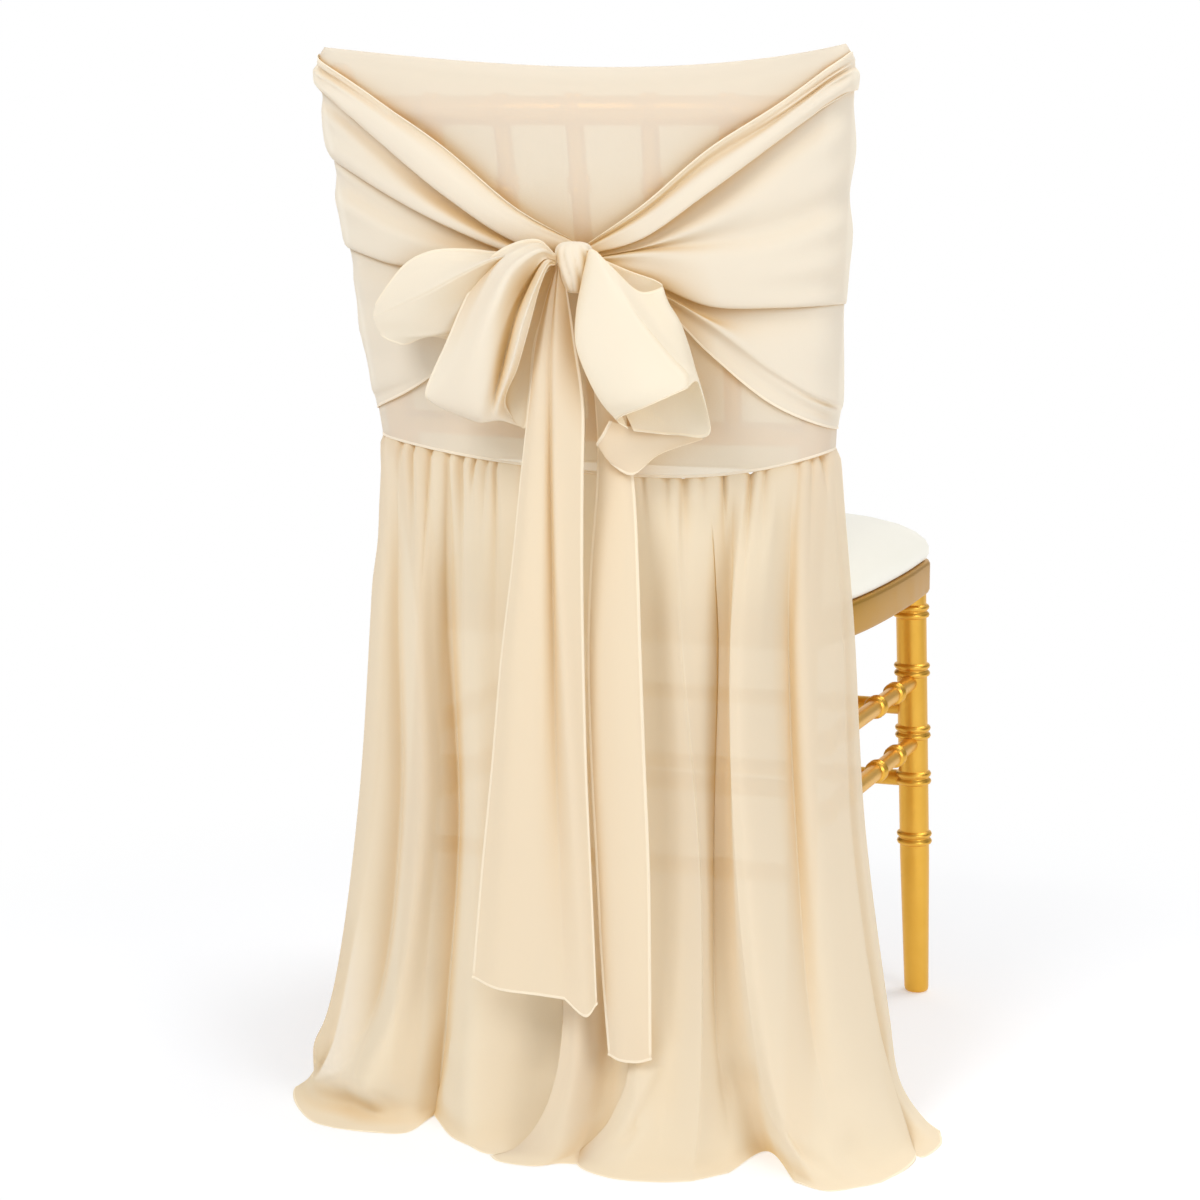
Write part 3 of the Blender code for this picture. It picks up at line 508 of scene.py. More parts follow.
HOOD_CLEAR = 0.018                          # how far the cloth stands off the middle of the posts
TIP_HALF, TIP_Z, TIP_Y, TIP_RISE = 0.2235, 0.9180, -0.094, 0.020
SAG, SAG_LEAN, SEAM_BOW, SEAM_ROUND = 0.0170, 0.006, 0.008, 0.016
WAIST_Z, WAIST_RISE, WAIST_LEAN = 0.571, 0.018, 0.012
HEM_WIDTH = 0.0022                          # narrow machine-rolled hem
OFF_FLOOR = 0.0004                          # no cloth lies lower than this
LET_THROUGH = 0.29                          # share of the light that glows through instead of back
HEM_PALENESS, UNGATHERED_GAP = 0.7, 0.60    # how far a rolled hem pales, and flat cloth opens up


def chiffon(name, cover, pale, painted_fold_shade, glow, reach):
    """Crepe-twist polyester chiffon: matt and sheer, pale where open; painted shade makes it darker and
    warmer in its folds, wherever ambient occlusion finds them.
    """
    material, tree, out = new_material(name)
    crepe_mm = 2.7                          # drawn coarser than the real 0.35 mm so that it shows
    place = add_node(tree, "ShaderNodeTexCoord")
    crepe = add_node(tree, "ShaderNodeTexNoise", {"Vector": place.outputs["Object"]},
                     in_Scale=1000 / crepe_mm, in_Detail=3.0, in_Roughness=0.7)
    bump = add_node(tree, "ShaderNodeBump", {"Height": crepe.outputs["Fac"]},
                    in_Strength=0.08, in_Distance=0.0006)
    # Painted shade: occlusion within reach mixes the colour from pale towards the darker fold colour.
    depth = add_node(tree, "ShaderNodeAmbientOcclusion", samples=6, in_Distance=reach)
    unshaded_share = add_node(tree, "ShaderNodeMapRange", {0: depth.outputs["AO"]}, in_1=0.25, in_2=0.95)
    tone = add_node(tree, "ShaderNodeMix", {0: unshaded_share.outputs[0]}, data_type="RGBA",
                    in_6=linear(painted_fold_shade), in_7=linear(pale))
    hem = add_node(tree, "ShaderNodeAttribute", attribute_name="hem")
    rolled = add_node(tree, "ShaderNodeMath", {0: hem.outputs["Fac"]}, operation="MULTIPLY",
                      in_1=HEM_PALENESS)
    edged = add_node(tree, "ShaderNodeMix", {0: rolled.outputs[0], 6: tone.outputs[2]}, data_type="RGBA",
                    in_7=linear("FDF6E6"))
    front = add_node(tree, "ShaderNodeBsdfDiffuse", {"Color": edged.outputs[2], "Normal": bump.outputs[0]},
                     in_Roughness=0.6)
    through = add_node(tree, "ShaderNodeBsdfTranslucent", in_Color=linear(glow))
    body = add_node(tree, "ShaderNodeMixShader", {1: front.outputs[0], 2: through.outputs[0]},
                    in_0=LET_THROUGH)
    clear = add_node(tree, "ShaderNodeBsdfTransparent", in_Color=linear("FFF6E6"))
    share = add_node(tree, "ShaderNodeMapRange", {0: hem.outputs["Fac"]}, in_3=cover, in_4=1.0)
    flat = add_node(tree, "ShaderNodeAttribute", attribute_name="ungathered")
    thin = add_node(tree, "ShaderNodeMath", {0: flat.outputs["Fac"]}, operation="MULTIPLY",
                    in_1=UNGATHERED_GAP)
    dense = add_node(tree, "ShaderNodeMath", {0: share.outputs[0], 1: thin.outputs[0]}, operation="SUBTRACT")
    cloth_mix = add_node(tree, "ShaderNodeMixShader",
                         {0: dense.outputs[0], 1: clear.outputs[0], 2: body.outputs[0]})
    tree.links.new(cloth_mix.outputs[0], out.inputs["Surface"])
    return material


# Lit and shaded copies of one chiffon. The hood, skirt, tails and flap are painted darker than the wings and
# loops, with their own open and fold colours and reach of painted fold shade. Their cover differs for real:
# stretched cloth is more open.
STRETCHED_PAINTED_SHADE = chiffon("champagne_chiffon_stretched_painted_shade", 0.79, "F5F1E5", "D2AF76", "F5EACF", 0.065)
CHIFFON = chiffon("champagne_chiffon", 0.93, "FAF6E9", "DDBA79", "F6E7C4", 0.042)
# The knot's copy is painted lighter, with a short reach of painted fold shade; its denser cover is real, as
# wound cloth.
WOUND_PAINTED_LIGHT = chiffon("champagne_chiffon_wound_painted_light", 0.97, "FBF5E6", "E0BE82", "F6E6C4", 0.012)
GATHERED_PAINTED_SHADE = chiffon("champagne_chiffon_gathered_painted_shade", 0.955, "F0E5D0", "E3C188", "EDDBB2", 0.022)
HANGING_PAINTED_SHADE = chiffon("champagne_chiffon_hanging_painted_shade", 0.95, "F1E6D1", "DAB479", "F0DDB8", 0.034)


# The rolled hem's section: back from the edge and up, in hem widths, and whether it counts as hem.
ROLLED_BEAD = ((0.0, 0.00, 1), (0.1, 0.15, 1), (0.4, 0.28, 1), (0.75, 0.16, 1), (1.0, 0.0, 1), (1.3, 0.0, 0))


def with_hems(grid, sides, width=HEM_WIDTH):
    """Ends the named sides of a grid of points in a rolled hem: a low bead along the edge."""
    def rolled_edge(rows):
        """Cuts a hem's width off the first rows and puts the bead in its place."""
        first = rows[0, :, :3]
        reach = np.linalg.norm(rows[:, :, :3] - first, axis=2)
        keep = int(np.argmax(np.median(reach, axis=1) > 1.8 * width))
        inward = (rows[keep, :, :3] - first) / (reach[keep, :, None] + 1e-12)
        lift = np.cross(np.gradient(first, axis=0), inward)
        lift /= np.linalg.norm(lift, axis=1, keepdims=True) + 1e-12
        if lift[:, 1].sum() > 0:
            lift = -lift
        room = np.minimum(width, 0.5 * reach[keep])[:, None]
        edge = [np.hstack([first + room * (inward * back + lift * rise), np.full((len(first), 1), mark)])
                for back, rise, mark in ROLLED_BEAD]
        return np.concatenate([edge, rows[keep:]])

    grid = np.concatenate([grid, np.zeros(grid.shape[:2] + (1,))], axis=2)
    if "start" in sides:
        grid = rolled_edge(grid)
    if "end" in sides:
        grid = rolled_edge(grid[::-1])[::-1]
    if "left" in sides:
        grid = rolled_edge(grid.transpose(1, 0, 2)).transpose(1, 0, 2)
    if "right" in sides:
        grid = rolled_edge(grid.transpose(1, 0, 2)[::-1])[::-1].transpose(1, 0, 2)
    return grid


def cloth(name, grid, node, hems=(), material=None):
    """Open sheet of chiffon on a grid of points, with its hems marked for the material."""
    grid = with_hems(np.asarray(grid, float), hems)
    points, hem = grid[:, :, :3], grid[:, :, 3]
    points[:, :, 2] = np.maximum(points[:, :, 2], OFF_FLOOR)
    rows, columns = hem.shape
    index = np.arange(rows * columns).reshape(rows, columns)
    quads = np.stack([index[:-1, :-1], index[1:, :-1], index[1:, 1:], index[:-1, 1:]], axis=-1)
    piece = mesh_piece(name, points.reshape(-1, 3), quads.reshape(-1, 4).tolist())
    piece.data.attributes.new("hem", "FLOAT", "POINT").data.foreach_set("value", hem.ravel())
    fit(piece, node, material or CHIFFON)
    return piece


# How far the back panel swells out behind the posts, by height.
BULGE_LEVELS = (0.50, 0.57, 0.74, 0.865, 0.905)
BULGE_DEPTHS = (0.062, 0.058, 0.042, 0.034, 0.012)


def hood_half(z):
    """Half of the hood's width, drawn out to a tip at each top corner."""
    past = min(max((z - (TIP_Z - TIP_RISE)) / TIP_RISE, 0), 1)
    full = post_x(z) + HOOD_CLEAR
    return full + (TIP_HALF - full) * past ** 2


def hood_top(a):
    """Height of the top seam, which sags between the tips."""
    return TIP_Z - (SAG + SAG_LEAN * a) * (1 - a ** 2)


def seam_z(a):
    """Height of the seam that the skirt hangs from."""
    return WAIST_Z + WAIST_RISE * abs(a) ** 3 - WAIST_LEAN * a * (1 - a ** 2)


def wrap(a, z, face):
    """Point of the hood: a from -1 to 1 between the side seams, face -1 behind or 1 in front."""
    half = hood_half(z)
    past_post = min(max((abs(a) * half - half) / HOOD_CLEAR + 1, 0), 1)
    stand_off = HOOD_CLEAR * (1 - past_post ** 2) ** 0.5
    if face < 0:
        stand_off += np.interp(z, BULGE_LEVELS, BULGE_DEPTHS) * (1 - a ** 2)
    closing = min(max((hood_top(a) - z) / SEAM_ROUND, 0), 1)
    closed = (1 - (1 - closing) ** 2) ** 0.5
    seam_y = TIP_Y - SEAM_BOW * (1 - a ** 2)
    y = (post_y(z) + face * stand_off) * closed + seam_y * (1 - closed)
    return np.array([a * half, y, z])


def off_hood(a, z, relief):
    """Point that stands relief off the back panel, square to its level section."""
    step = 0.01
    along = wrap(min(a + step, 1), z, -1) - wrap(max(a - step, -1), z, -1)
    out = np.array([along[1], -along[0], 0])
    return wrap(a, z, -1) + relief * out / np.linalg.norm(out)


def across_hood(count):
    """Places from seam to seam, closer together round the posts."""
    even = np.linspace(-1, 1, count)
    return np.sign(even) * (1 - (1 - abs(even)) ** 1.35)


def hood_panel(node, lower_edge, face, columns):
    """Panel of the hood from its hem, whose height is lower_edge(a), up to the seam along the top."""
    rise = 1 - np.linspace(1, 0, 60) ** 1.5
    grid = [[wrap(a, lower_edge(a) + (hood_top(a) - lower_edge(a)) * v, face)
             for a in across_hood(columns)] for v in rise]
    return cloth(node + "_panel", grid, node, hems=("start",), material=STRETCHED_PAINTED_SHADE)


SEAM_LAP, SEAM_SET_IN = 0.001, 0.0012       # hood past skirt at their seam, and the skirt's step in
FRONT_HEM_Z = 0.566
hood_back = hood_panel("hood_back", lambda a: seam_z(a) - SEAM_LAP, -1, 97)
hood_front = hood_panel("hood_front", lambda a: FRONT_HEM_Z, 1, 65)


# ======================================================================= the sash wings
# Each tie is sewn into a side seam over its full width and drawn to the middle of the back, so it
# falls in bands: a taut upper hem, overlapping pleats, then a slack belly down to its lower hem.

# Heights in millimetres at the seam, a quarter, half and three quarters in, and at the knot; then
# how far each line stands off the hood at the seam, midway and at the knot.
WING_LEFT = (
    # line            seam quarter half  3/4   knot   relief
    ("upper_hem",     913, 876, 838, 789, 757.0, (1.0, 9, 8)),
    ("hem_dip",       906, 870, 833, 785, 756.3, (0.8, 8, 8)),
    ("band_crown",    898, 862, 822, 777, 754.5, (5.5, 16, 10)),
    ("band_edge",     887, 841, 797, 760, 750.5, (3.5, 15, 9)),
    ("band_tuck",     890, 846, 802, 763, 751.0, (0.8, 4, 7)),
    ("second_slope",  878, 831, 789, 758, 749.0, (1.0, 4, 7)),
    ("second_crown",  854, 814, 780, 754, 747.5, (6.0, 13, 9)),
    ("second_edge",   828, 797, 771, 750, 745.5, (3.5, 12, 8)),
    ("second_tuck",   832, 801, 774, 752, 745.9, (0.8, 4, 7)),
    ("third_slope",   817, 783, 762, 747, 744.5, (1.0, 4, 7)),
    ("third_crown",   788, 762, 752, 744, 743.5, (6.0, 11, 9)),
    ("third_edge",    752, 738, 740, 740, 741.5, (3.5, 9, 8)),
    ("third_tuck",    756, 741, 742, 741, 741.8, (0.8, 4, 7)),
    ("belly_top",     738, 726, 731, 736, 740.0, (1.0, 5, 7)),
    ("belly",         690, 694, 708, 725, 736.0, (4.5, 10, 8)),
    ("lower_roll",    626, 645, 677, 709, 731.0, (2.5, 7, 8)),
    ("lower_hem",     610, 634, 668, 704, 728.5, (0.8, 5, 7)),
)
WING_RIGHT = (
    ("upper_hem",     912, 871, 836, 792, 757.0, (1.0, 9, 9)),
    ("under_hem",     906, 866, 832, 789, 756.3, (1.5, 8, 8)),
    ("band_crease",   901, 860, 826, 785, 755.2, (0.5, 6, 6)),
    ("band_crown",    895, 854, 816, 778, 753.5, (5.0, 17, 10)),
    ("band_edge",     882, 841, 801, 765, 749.8, (4.0, 16, 9)),
    ("band_tuck",     886, 846, 806, 768, 750.2, (0.8, 5, 7)),
    ("flat_under",    870, 829, 792, 762, 748.6, (1.0, 5, 7)),
    ("soft_crown",    835, 803, 777, 758, 747.6, (5.0, 11, 8)),
    ("soft_dip",      800, 776, 764, 756, 746.8, (1.0, 6, 5)),
    ("drape_crown",   770, 753, 752, 753, 746.0, (5.5, 13, 13)),
    ("drape_swell",   738, 730, 732, 743, 744.5, (4.0, 16, 12)),
    ("drape_edge",    711, 709, 711, 731, 742.0, (2.5, 14, 9)),
    ("drape_tuck",    715, 713, 714, 732, 742.3, (0.8, 4, 7)),
    ("under_slope",   700, 698, 703, 728, 740.5, (1.0, 4, 7)),
    ("roll_crown",    630, 661, 698, 726, 738.0, (5.0, 13, 8)),
    ("roll_dip",      621, 650, 689, 724, 736.0, (3.0, 6, 7)),
    ("lower_hem",     606, 630, 672, 721, 733.0, (0.8, 6, 7)),
)
PLEAT_DEPTH, PLEATS = 0.0016, 11            # small pleats near the knot
PUCKER_DEPTH, PUCKERS = 0.0020, 17          # pucker along the side seam
LEAST_RELIEF = 0.0009                       # a wing never sinks into the hood


def wing(name, node, lines, side):
    """Sash wing through its lines, from the side seam on that side in to the knot."""
    keys = []
    for _, *heights, relief in lines:
        reliefs = np.interp((0, 0.25, 0.5, 0.75, 1), (0, 0.5, 1), relief)
        keys.append(np.stack([heights, reliefs], axis=1) / 1000)
    fine = spline(np.array(keys), 6)
    grid = []
    for place, line in zip(np.linspace(0, 1, len(fine)), fine):
        pleat = PLEAT_DEPTH * np.cos(2 * np.pi * (PLEATS * place + 0.3 * np.sin(9 * place)))
        pucker = PUCKER_DEPTH * np.cos(2 * np.pi * (PUCKERS * place + 0.4 * np.sin(7 * place)))
        way_in = spline(np.column_stack([np.linspace(0, 1, 5), line]), 16)
        row = []
        for t in np.linspace(0, 1, 70) ** 1.25:
            z = np.interp(t, way_in[:, 0], way_in[:, 1])
            relief = np.interp(t, way_in[:, 0], way_in[:, 2])
            relief += pleat * t ** 2.5 * (1 - t ** 8) + pucker * (1 - t) ** 5 * min(1, 30 * t)
            relief = max(relief, LEAST_RELIEF)
            end = (KNOT_MIDDLE[0] - side * 0.002) / hood_half(z)
            row.append(off_hood(side + (end - side) * t, z, relief))
        grid.append(row)
    piece = cloth(name, grid, node, hems=("start", "end"))


wing("sash_left_wing", "sash_wing_left", WING_LEFT, -1)
wing("sash_right_wing", "sash_wing_right", WING_RIGHT, 1)


# ======================================================================= the knot, loops and tails
# The ties cross in one knot, wound once round with its own cloth. They come out of it as two loops
# on the left, one open loop on the right with a flap below it, and two long tails.

KNOT_HALF = (0.0152, 0.0155, 0.0205)        # half its width, depth and height
KNOT_PLEAT, KNOT_FLARE = 0.11, 0.20


def knot():
    """Rounded lump, wider above, with the pleats of the cloth wound round it."""
    turns, levels = 72, 33
    points = []
    for lat in np.linspace(-0.5, 0.5, levels)[1:-1] * np.pi:
        round_off = np.cos(lat) ** (0.55 if lat > 0 else 0.38)
        for lon in 2 * np.pi * np.arange(turns) / turns:
            pleat = KNOT_PLEAT * abs(np.sin(5.5 * lon + 0.8 * np.sin(2 * lat))) ** 0.7
            width = round_off * (0.95 + pleat) * (1 + KNOT_FLARE * np.sin(lat))
            points.append((KNOT_MIDDLE[0] + KNOT_HALF[0] * width * np.cos(lon) - 0.0020 * np.sin(lat),
                           KNOT_MIDDLE[1] + KNOT_HALF[1] * width * np.sin(lon),
                           KNOT_MIDDLE[2] + KNOT_HALF[2] * np.sin(lat)))
    rings = levels - 2
    top, bottom = len(points) + 1, len(points)
    points += [(*KNOT_MIDDLE[:2], KNOT_MIDDLE[2] + end * KNOT_HALF[2]) for end in (-1, 1)]
    faces = []
    for j in range(turns):
        k = (j + 1) % turns
        faces.append((bottom, k, j))
        faces.append((top, (rings - 1) * turns + j, (rings - 1) * turns + k))
        faces += [(i * turns + j, i * turns + k, (i + 1) * turns + k, (i + 1) * turns + j)
                  for i in range(rings - 1)]
    return mesh_piece("sash_knot_wound", np.array(points), faces)


fit(knot(), "sash_knot", WOUND_PAINTED_LIGHT)

# Lines of each loop in millimetres, from the knot out to the fold and back behind: x, y, z.
LOOP_LEFT_OUTER = (
    ((0, -150, 753), (-48, -146, 752), (-77, -143, 755), (-111, -139, 753), (-137, -134, 741),
     (-164, -131, 708), (-148, -122, 728), (-92, -120, 742), (-4, -134, 750)),
    ((1, -152, 751), (-46, -152, 751), (-76, -150, 747), (-108, -148, 741), (-137, -142, 728),
     (-165, -134, 701), (-148, -121, 720), (-92, -119, 733), (-4, -134, 748)),
    ((2, -153, 750), (-39, -170, 750), (-70, -174, 737), (-97, -173, 723), (-126, -162, 711),
     (-165, -136, 698), (-148, -121, 712), (-92, -118, 722), (-4, -134, 746)),
    ((2, -153, 747), (-41, -164, 738), (-70, -163, 719), (-97, -160, 705), (-127, -154, 696),
     (-163, -137, 695), (-148, -121, 702), (-92, -118, 710), (-4, -134, 744)),
    ((1, -152, 745), (-43, -157, 722), (-70, -151, 697), (-100, -149, 685), (-132, -144, 683),
     (-162, -136, 690), (-146, -121, 694), (-92, -119, 700), (-4, -134, 742)),
    ((0, -150, 743), (-45, -147, 706), (-72, -138, 677), (-115, -136, 683), (-139, -135, 675),
     (-158, -135, 683), (-142, -122, 688), (-88, -120, 690), (-4, -134, 741)),
)
LOOP_LEFT_FRONT = (
    ((3, -156, 753), (-12, -160, 763), (-45, -160, 753), (-67, -162, 725), (-90, -158, 682),
     (-113, -150, 638), (-113, -146, 633), (-92, -144, 655), (-48, -146, 710), (-7, -150, 746),
     (2, -151, 746)),
    ((4, -157, 752), (-8, -167, 760), (-32, -174, 748), (-50, -178, 721), (-72, -172, 679),
     (-100, -155, 632), (-102, -146, 626), (-79, -144, 650), (-43, -146, 705), (-6, -150, 743),
     (2, -151, 745)),
    ((4, -157, 750), (-3, -172, 755), (-22, -182, 741), (-35, -188, 717), (-55, -182, 677),
     (-79, -160, 625), (-83, -147, 620), (-64, -144, 646), (-36, -146, 699), (-4, -150, 740), (2, -151, 744)),
    ((4, -157, 748), (-3, -168, 750), (-17, -170, 733), (-28, -178, 711), (-42, -176, 673),
     (-62, -160, 620), (-66, -147, 615), (-50, -144, 641), (-31, -146, 692), (-3, -150, 737), (2, -151, 743)),
    ((4, -157, 747), (-2, -166, 748), (-17, -160, 731), (-25, -169, 707), (-39, -162, 668),
     (-53, -155, 621), (-54, -147, 616), (-43, -144, 638), (-28, -146, 688), (-2, -150, 734), (2, -151, 742)),
    ((4, -157, 746), (2, -172, 747), (-3, -184, 731), (-12, -188, 705), (-26, -178, 668),
     (-47, -154, 623), (-45, -146, 616), (-35, -144, 635), (-24, -147, 684), (-1, -151, 732), (2, -151, 742)),
    ((3, -156, 744), (2, -168, 743), (-4, -172, 727), (-11, -174, 701), (-26, -164, 663),
     (-43, -148, 630), (-29, -140, 610), (-23, -144, 637), (-17, -148, 683), (0, -151, 729), (2, -151, 741)),
)
# The open loop, in rings from its ruffled upper hem down to its mouth, each begun behind on the left.
LOOP_RIGHT = (
    ((28, -134, 749), (28, -150, 755), (37, -159, 757), (52, -163, 745), (74, -157, 725),
     (89, -147, 728), (82, -136, 732), (58, -131, 739), (33, -133, 749)),
    ((26, -134, 735), (27, -160, 735), (48, -172, 740), (64, -174, 728), (81, -162, 714),
     (94, -150, 715), (89, -136, 717), (58, -128, 722), (27, -132, 735)),
    ((25, -136, 709), (24, -166, 709), (53, -178, 714), (80, -183, 709), (93, -167, 699),
     (104, -152, 700), (99, -137, 701), (61, -126, 700), (26, -134, 707)),
    ((30, -138, 684), (24, -168, 683), (60, -182, 686), (97, -187, 691), (104, -170, 685),
     (111, -154, 683), (107, -138, 683), (66, -127, 676), (32, -136, 682)),
    ((40, -140, 655), (34, -168, 656), (73, -183, 661), (112, -185, 674), (116, -171, 670),
     (117, -156, 667), (115, -139, 659), (75, -128, 645), (43, -138, 652)),
    ((50, -141, 633), (46, -164, 634), (82, -181, 644), (122, -181, 662), (123, -170, 661),
     (122, -157, 658), (122, -140, 637), (84, -129, 625), (54, -139, 630)),
    ((60, -143, 613), (56, -158, 622), (86, -176, 635), (121, -179, 651), (125, -171, 656),
     (125, -158, 650), (128, -138, 613), (97, -131, 608), (64, -140, 611)),
)
FLAP_RIGHT = (
    ((43, -140, 619), (55, -136, 615), (71, -132, 613), (91, -128, 612), (115, -124, 611)),
    ((37, -140, 608), (48, -137, 603), (67, -131, 602), (89, -126, 605), (115, -122, 608)),
    ((31, -137, 600), (41, -133, 587), (64, -127, 589), (87, -123, 599), (116, -121, 606)),
    ((32, -134, 597), (43, -129, 581), (57, -125, 573), (79, -122, 590), (116, -120, 604)),
)


def loft(lines, steps_out, steps_across, creases=()):
    """Sheet through given lines: smooth along each and across, but for a fold at each crease."""
    along = np.array([spline(line, steps_out) for line in lines])
    bends = [0, *creases, len(along) - 1]
    spans = [spline(along[i:j + 1], steps_across)[:-1] for i, j in zip(bends, bends[1:])]
    return np.concatenate(spans + [along[-1:]])


def drawn_in(grid, pleats, depth, reach):
    """Pleats the two ends of a sheet, where the knot gathers it: they fade out over reach."""
    rows, columns = grid.shape[:2]
    normal = np.cross(np.gradient(grid, axis=0), np.gradient(grid, axis=1))
    normal /= np.linalg.norm(normal, axis=2, keepdims=True) + 1e-12
    steps = np.linalg.norm(np.diff(grid[rows // 2], axis=0), axis=1)
    out = np.concatenate([[0], np.cumsum(steps)])
    fade = np.exp(-(out / reach) ** 2) * np.clip(out / 0.012, 0, 1)
    place = np.linspace(0, 1, rows)[:, None]
    ridge = np.abs(np.sin(np.pi * (pleats * place + 0.35 * np.sin(7 * place)))) ** 0.7 - 0.6
    return grid + normal * (depth * ridge * fade)[:, :, None]


outer_grid = loft(np.array(LOOP_LEFT_OUTER) / 1000, 10, 8, creases=(2, 4))
outer = cloth("loop_outer_left", drawn_in(outer_grid, pleats=5, depth=0.0040, reach=0.07),
              "loop_left_outer", hems=("start", "end"))
front_grid = loft(np.array(LOOP_LEFT_FRONT) / 1000, 10, 8, creases=(4,))
front = cloth("loop_front_left", drawn_in(front_grid, pleats=6, depth=0.0035, reach=0.06),
              "loop_left_front", hems=("start", "end"))
right_grid = loft(np.array(LOOP_RIGHT).transpose(1, 0, 2) / 1000, 10, 8, creases=(3,)).transpose(1, 0, 2)
right = cloth("loop_open_right", right_grid, "loop_right", hems=("start", "end"))
flap = cloth("flap_under_loop", loft(np.array(FLAP_RIGHT) / 1000, 8, 8), "flap_right",
             hems=("end", "left"), material=HANGING_PAINTED_SHADE)

# Each tail in lengthwise lines: heights of the stations, then x and y at each, all in millimetres.
TAIL_LEFT_LEVELS = (746, 716, 680, 634, 575, 500, 420, 330, 240, 143)
TAIL_LEFT = (
    # line       end rise, then (x, y) at each level
    ("hem",      3, (3, -152), (-7, -152), (-16, -152), (-21, -153), (-28, -154), (-36, -155),
     (-46, -156), (-54, -158), (-63, -160), (-71, -162)),
    ("belly",   -2, (4, -155), (-2, -161), (-8, -163), (-13, -165), (-18, -166), (-24, -167),
     (-30, -168), (-33, -170), (-38, -171), (-44, -172)),
    ("lip",     -4, (5, -156), (1, -161), (-3, -163), (-5, -165), (-5, -166), (-6, -167),
     (-7, -167), (-8, -168), (-9, -169), (-8, -170)),
    ("trough",  -6, (5, -155), (3, -160), (0, -161), (0, -161), (0, -160), (1, -159),
     (2, -158), (4, -159), (8, -162), (13, -167)),
    ("strip",  -19, (6, -156), (6, -161), (6, -163), (6, -164), (7, -166), (9, -167),
     (13, -167), (18, -167), (24, -167), (31, -168)),
    ("far_hem", -9, (7, -152), (13, -152), (19, -152), (26, -153), (26, -154), (26, -155),
     (27, -155), (30, -157), (35, -160), (40, -161)),
)
TAIL_RIGHT_LEVELS = (724, 652, 600, 560, 500, 430, 340, 250, 165, 88)
TAIL_RIGHT = (
    ("hem",     -1, (17, -129), (21, -117), (24, -114), (25, -120), (24, -132), (24, -140),
     (28, -145), (34, -148), (39, -149), (46, -150)),
    ("face",    -4, (20, -131), (26, -120), (32, -118), (36, -125), (38, -137), (40, -144),
     (44, -148), (49, -151), (53, -153), (57, -154)),
    ("far",     -4, (24, -131), (32, -120), (42, -117), (50, -124), (56, -136), (60, -143),
     (66, -147), (70, -150), (73, -152), (74, -153)),
    ("far_hem", -1, (27, -129), (45, -117), (51, -113), (58, -118), (66, -132), (71, -140),
     (76, -144), (81, -147), (83, -149), (84, -150)),
)


def tail(name, node, levels, lines, creases=()):
    """Tail through its lengthwise lines, hemmed round its three free sides."""
    keys = [[(x, y, z + (rise if z == levels[-1] else 0)) for (x, y), z in zip(pairs, levels)]
            for _, rise, *pairs in lines]
    grid = loft(np.array(keys) / 1000, 12, 8, creases)
    piece = cloth(name, grid, node, hems=("start", "end", "right"), material=HANGING_PAINTED_SHADE)


tail("tail_front_left", "tail_left", TAIL_LEFT_LEVELS, TAIL_LEFT, creases=(3,))
tail("tail_behind_right", "tail_right", TAIL_RIGHT_LEVELS, TAIL_RIGHT)


# ======================================================================= the skirt
# One width of chiffon gathered on a thread to the hood's lower edge. It falls in soft organ folds,
# two of them lapped over near the floor, and its rolled hem spreads and buckles on the ground.

SKIRT_LEVELS = (0.44, 0.26, 0.10, 0.035, 0.006, 0.0)
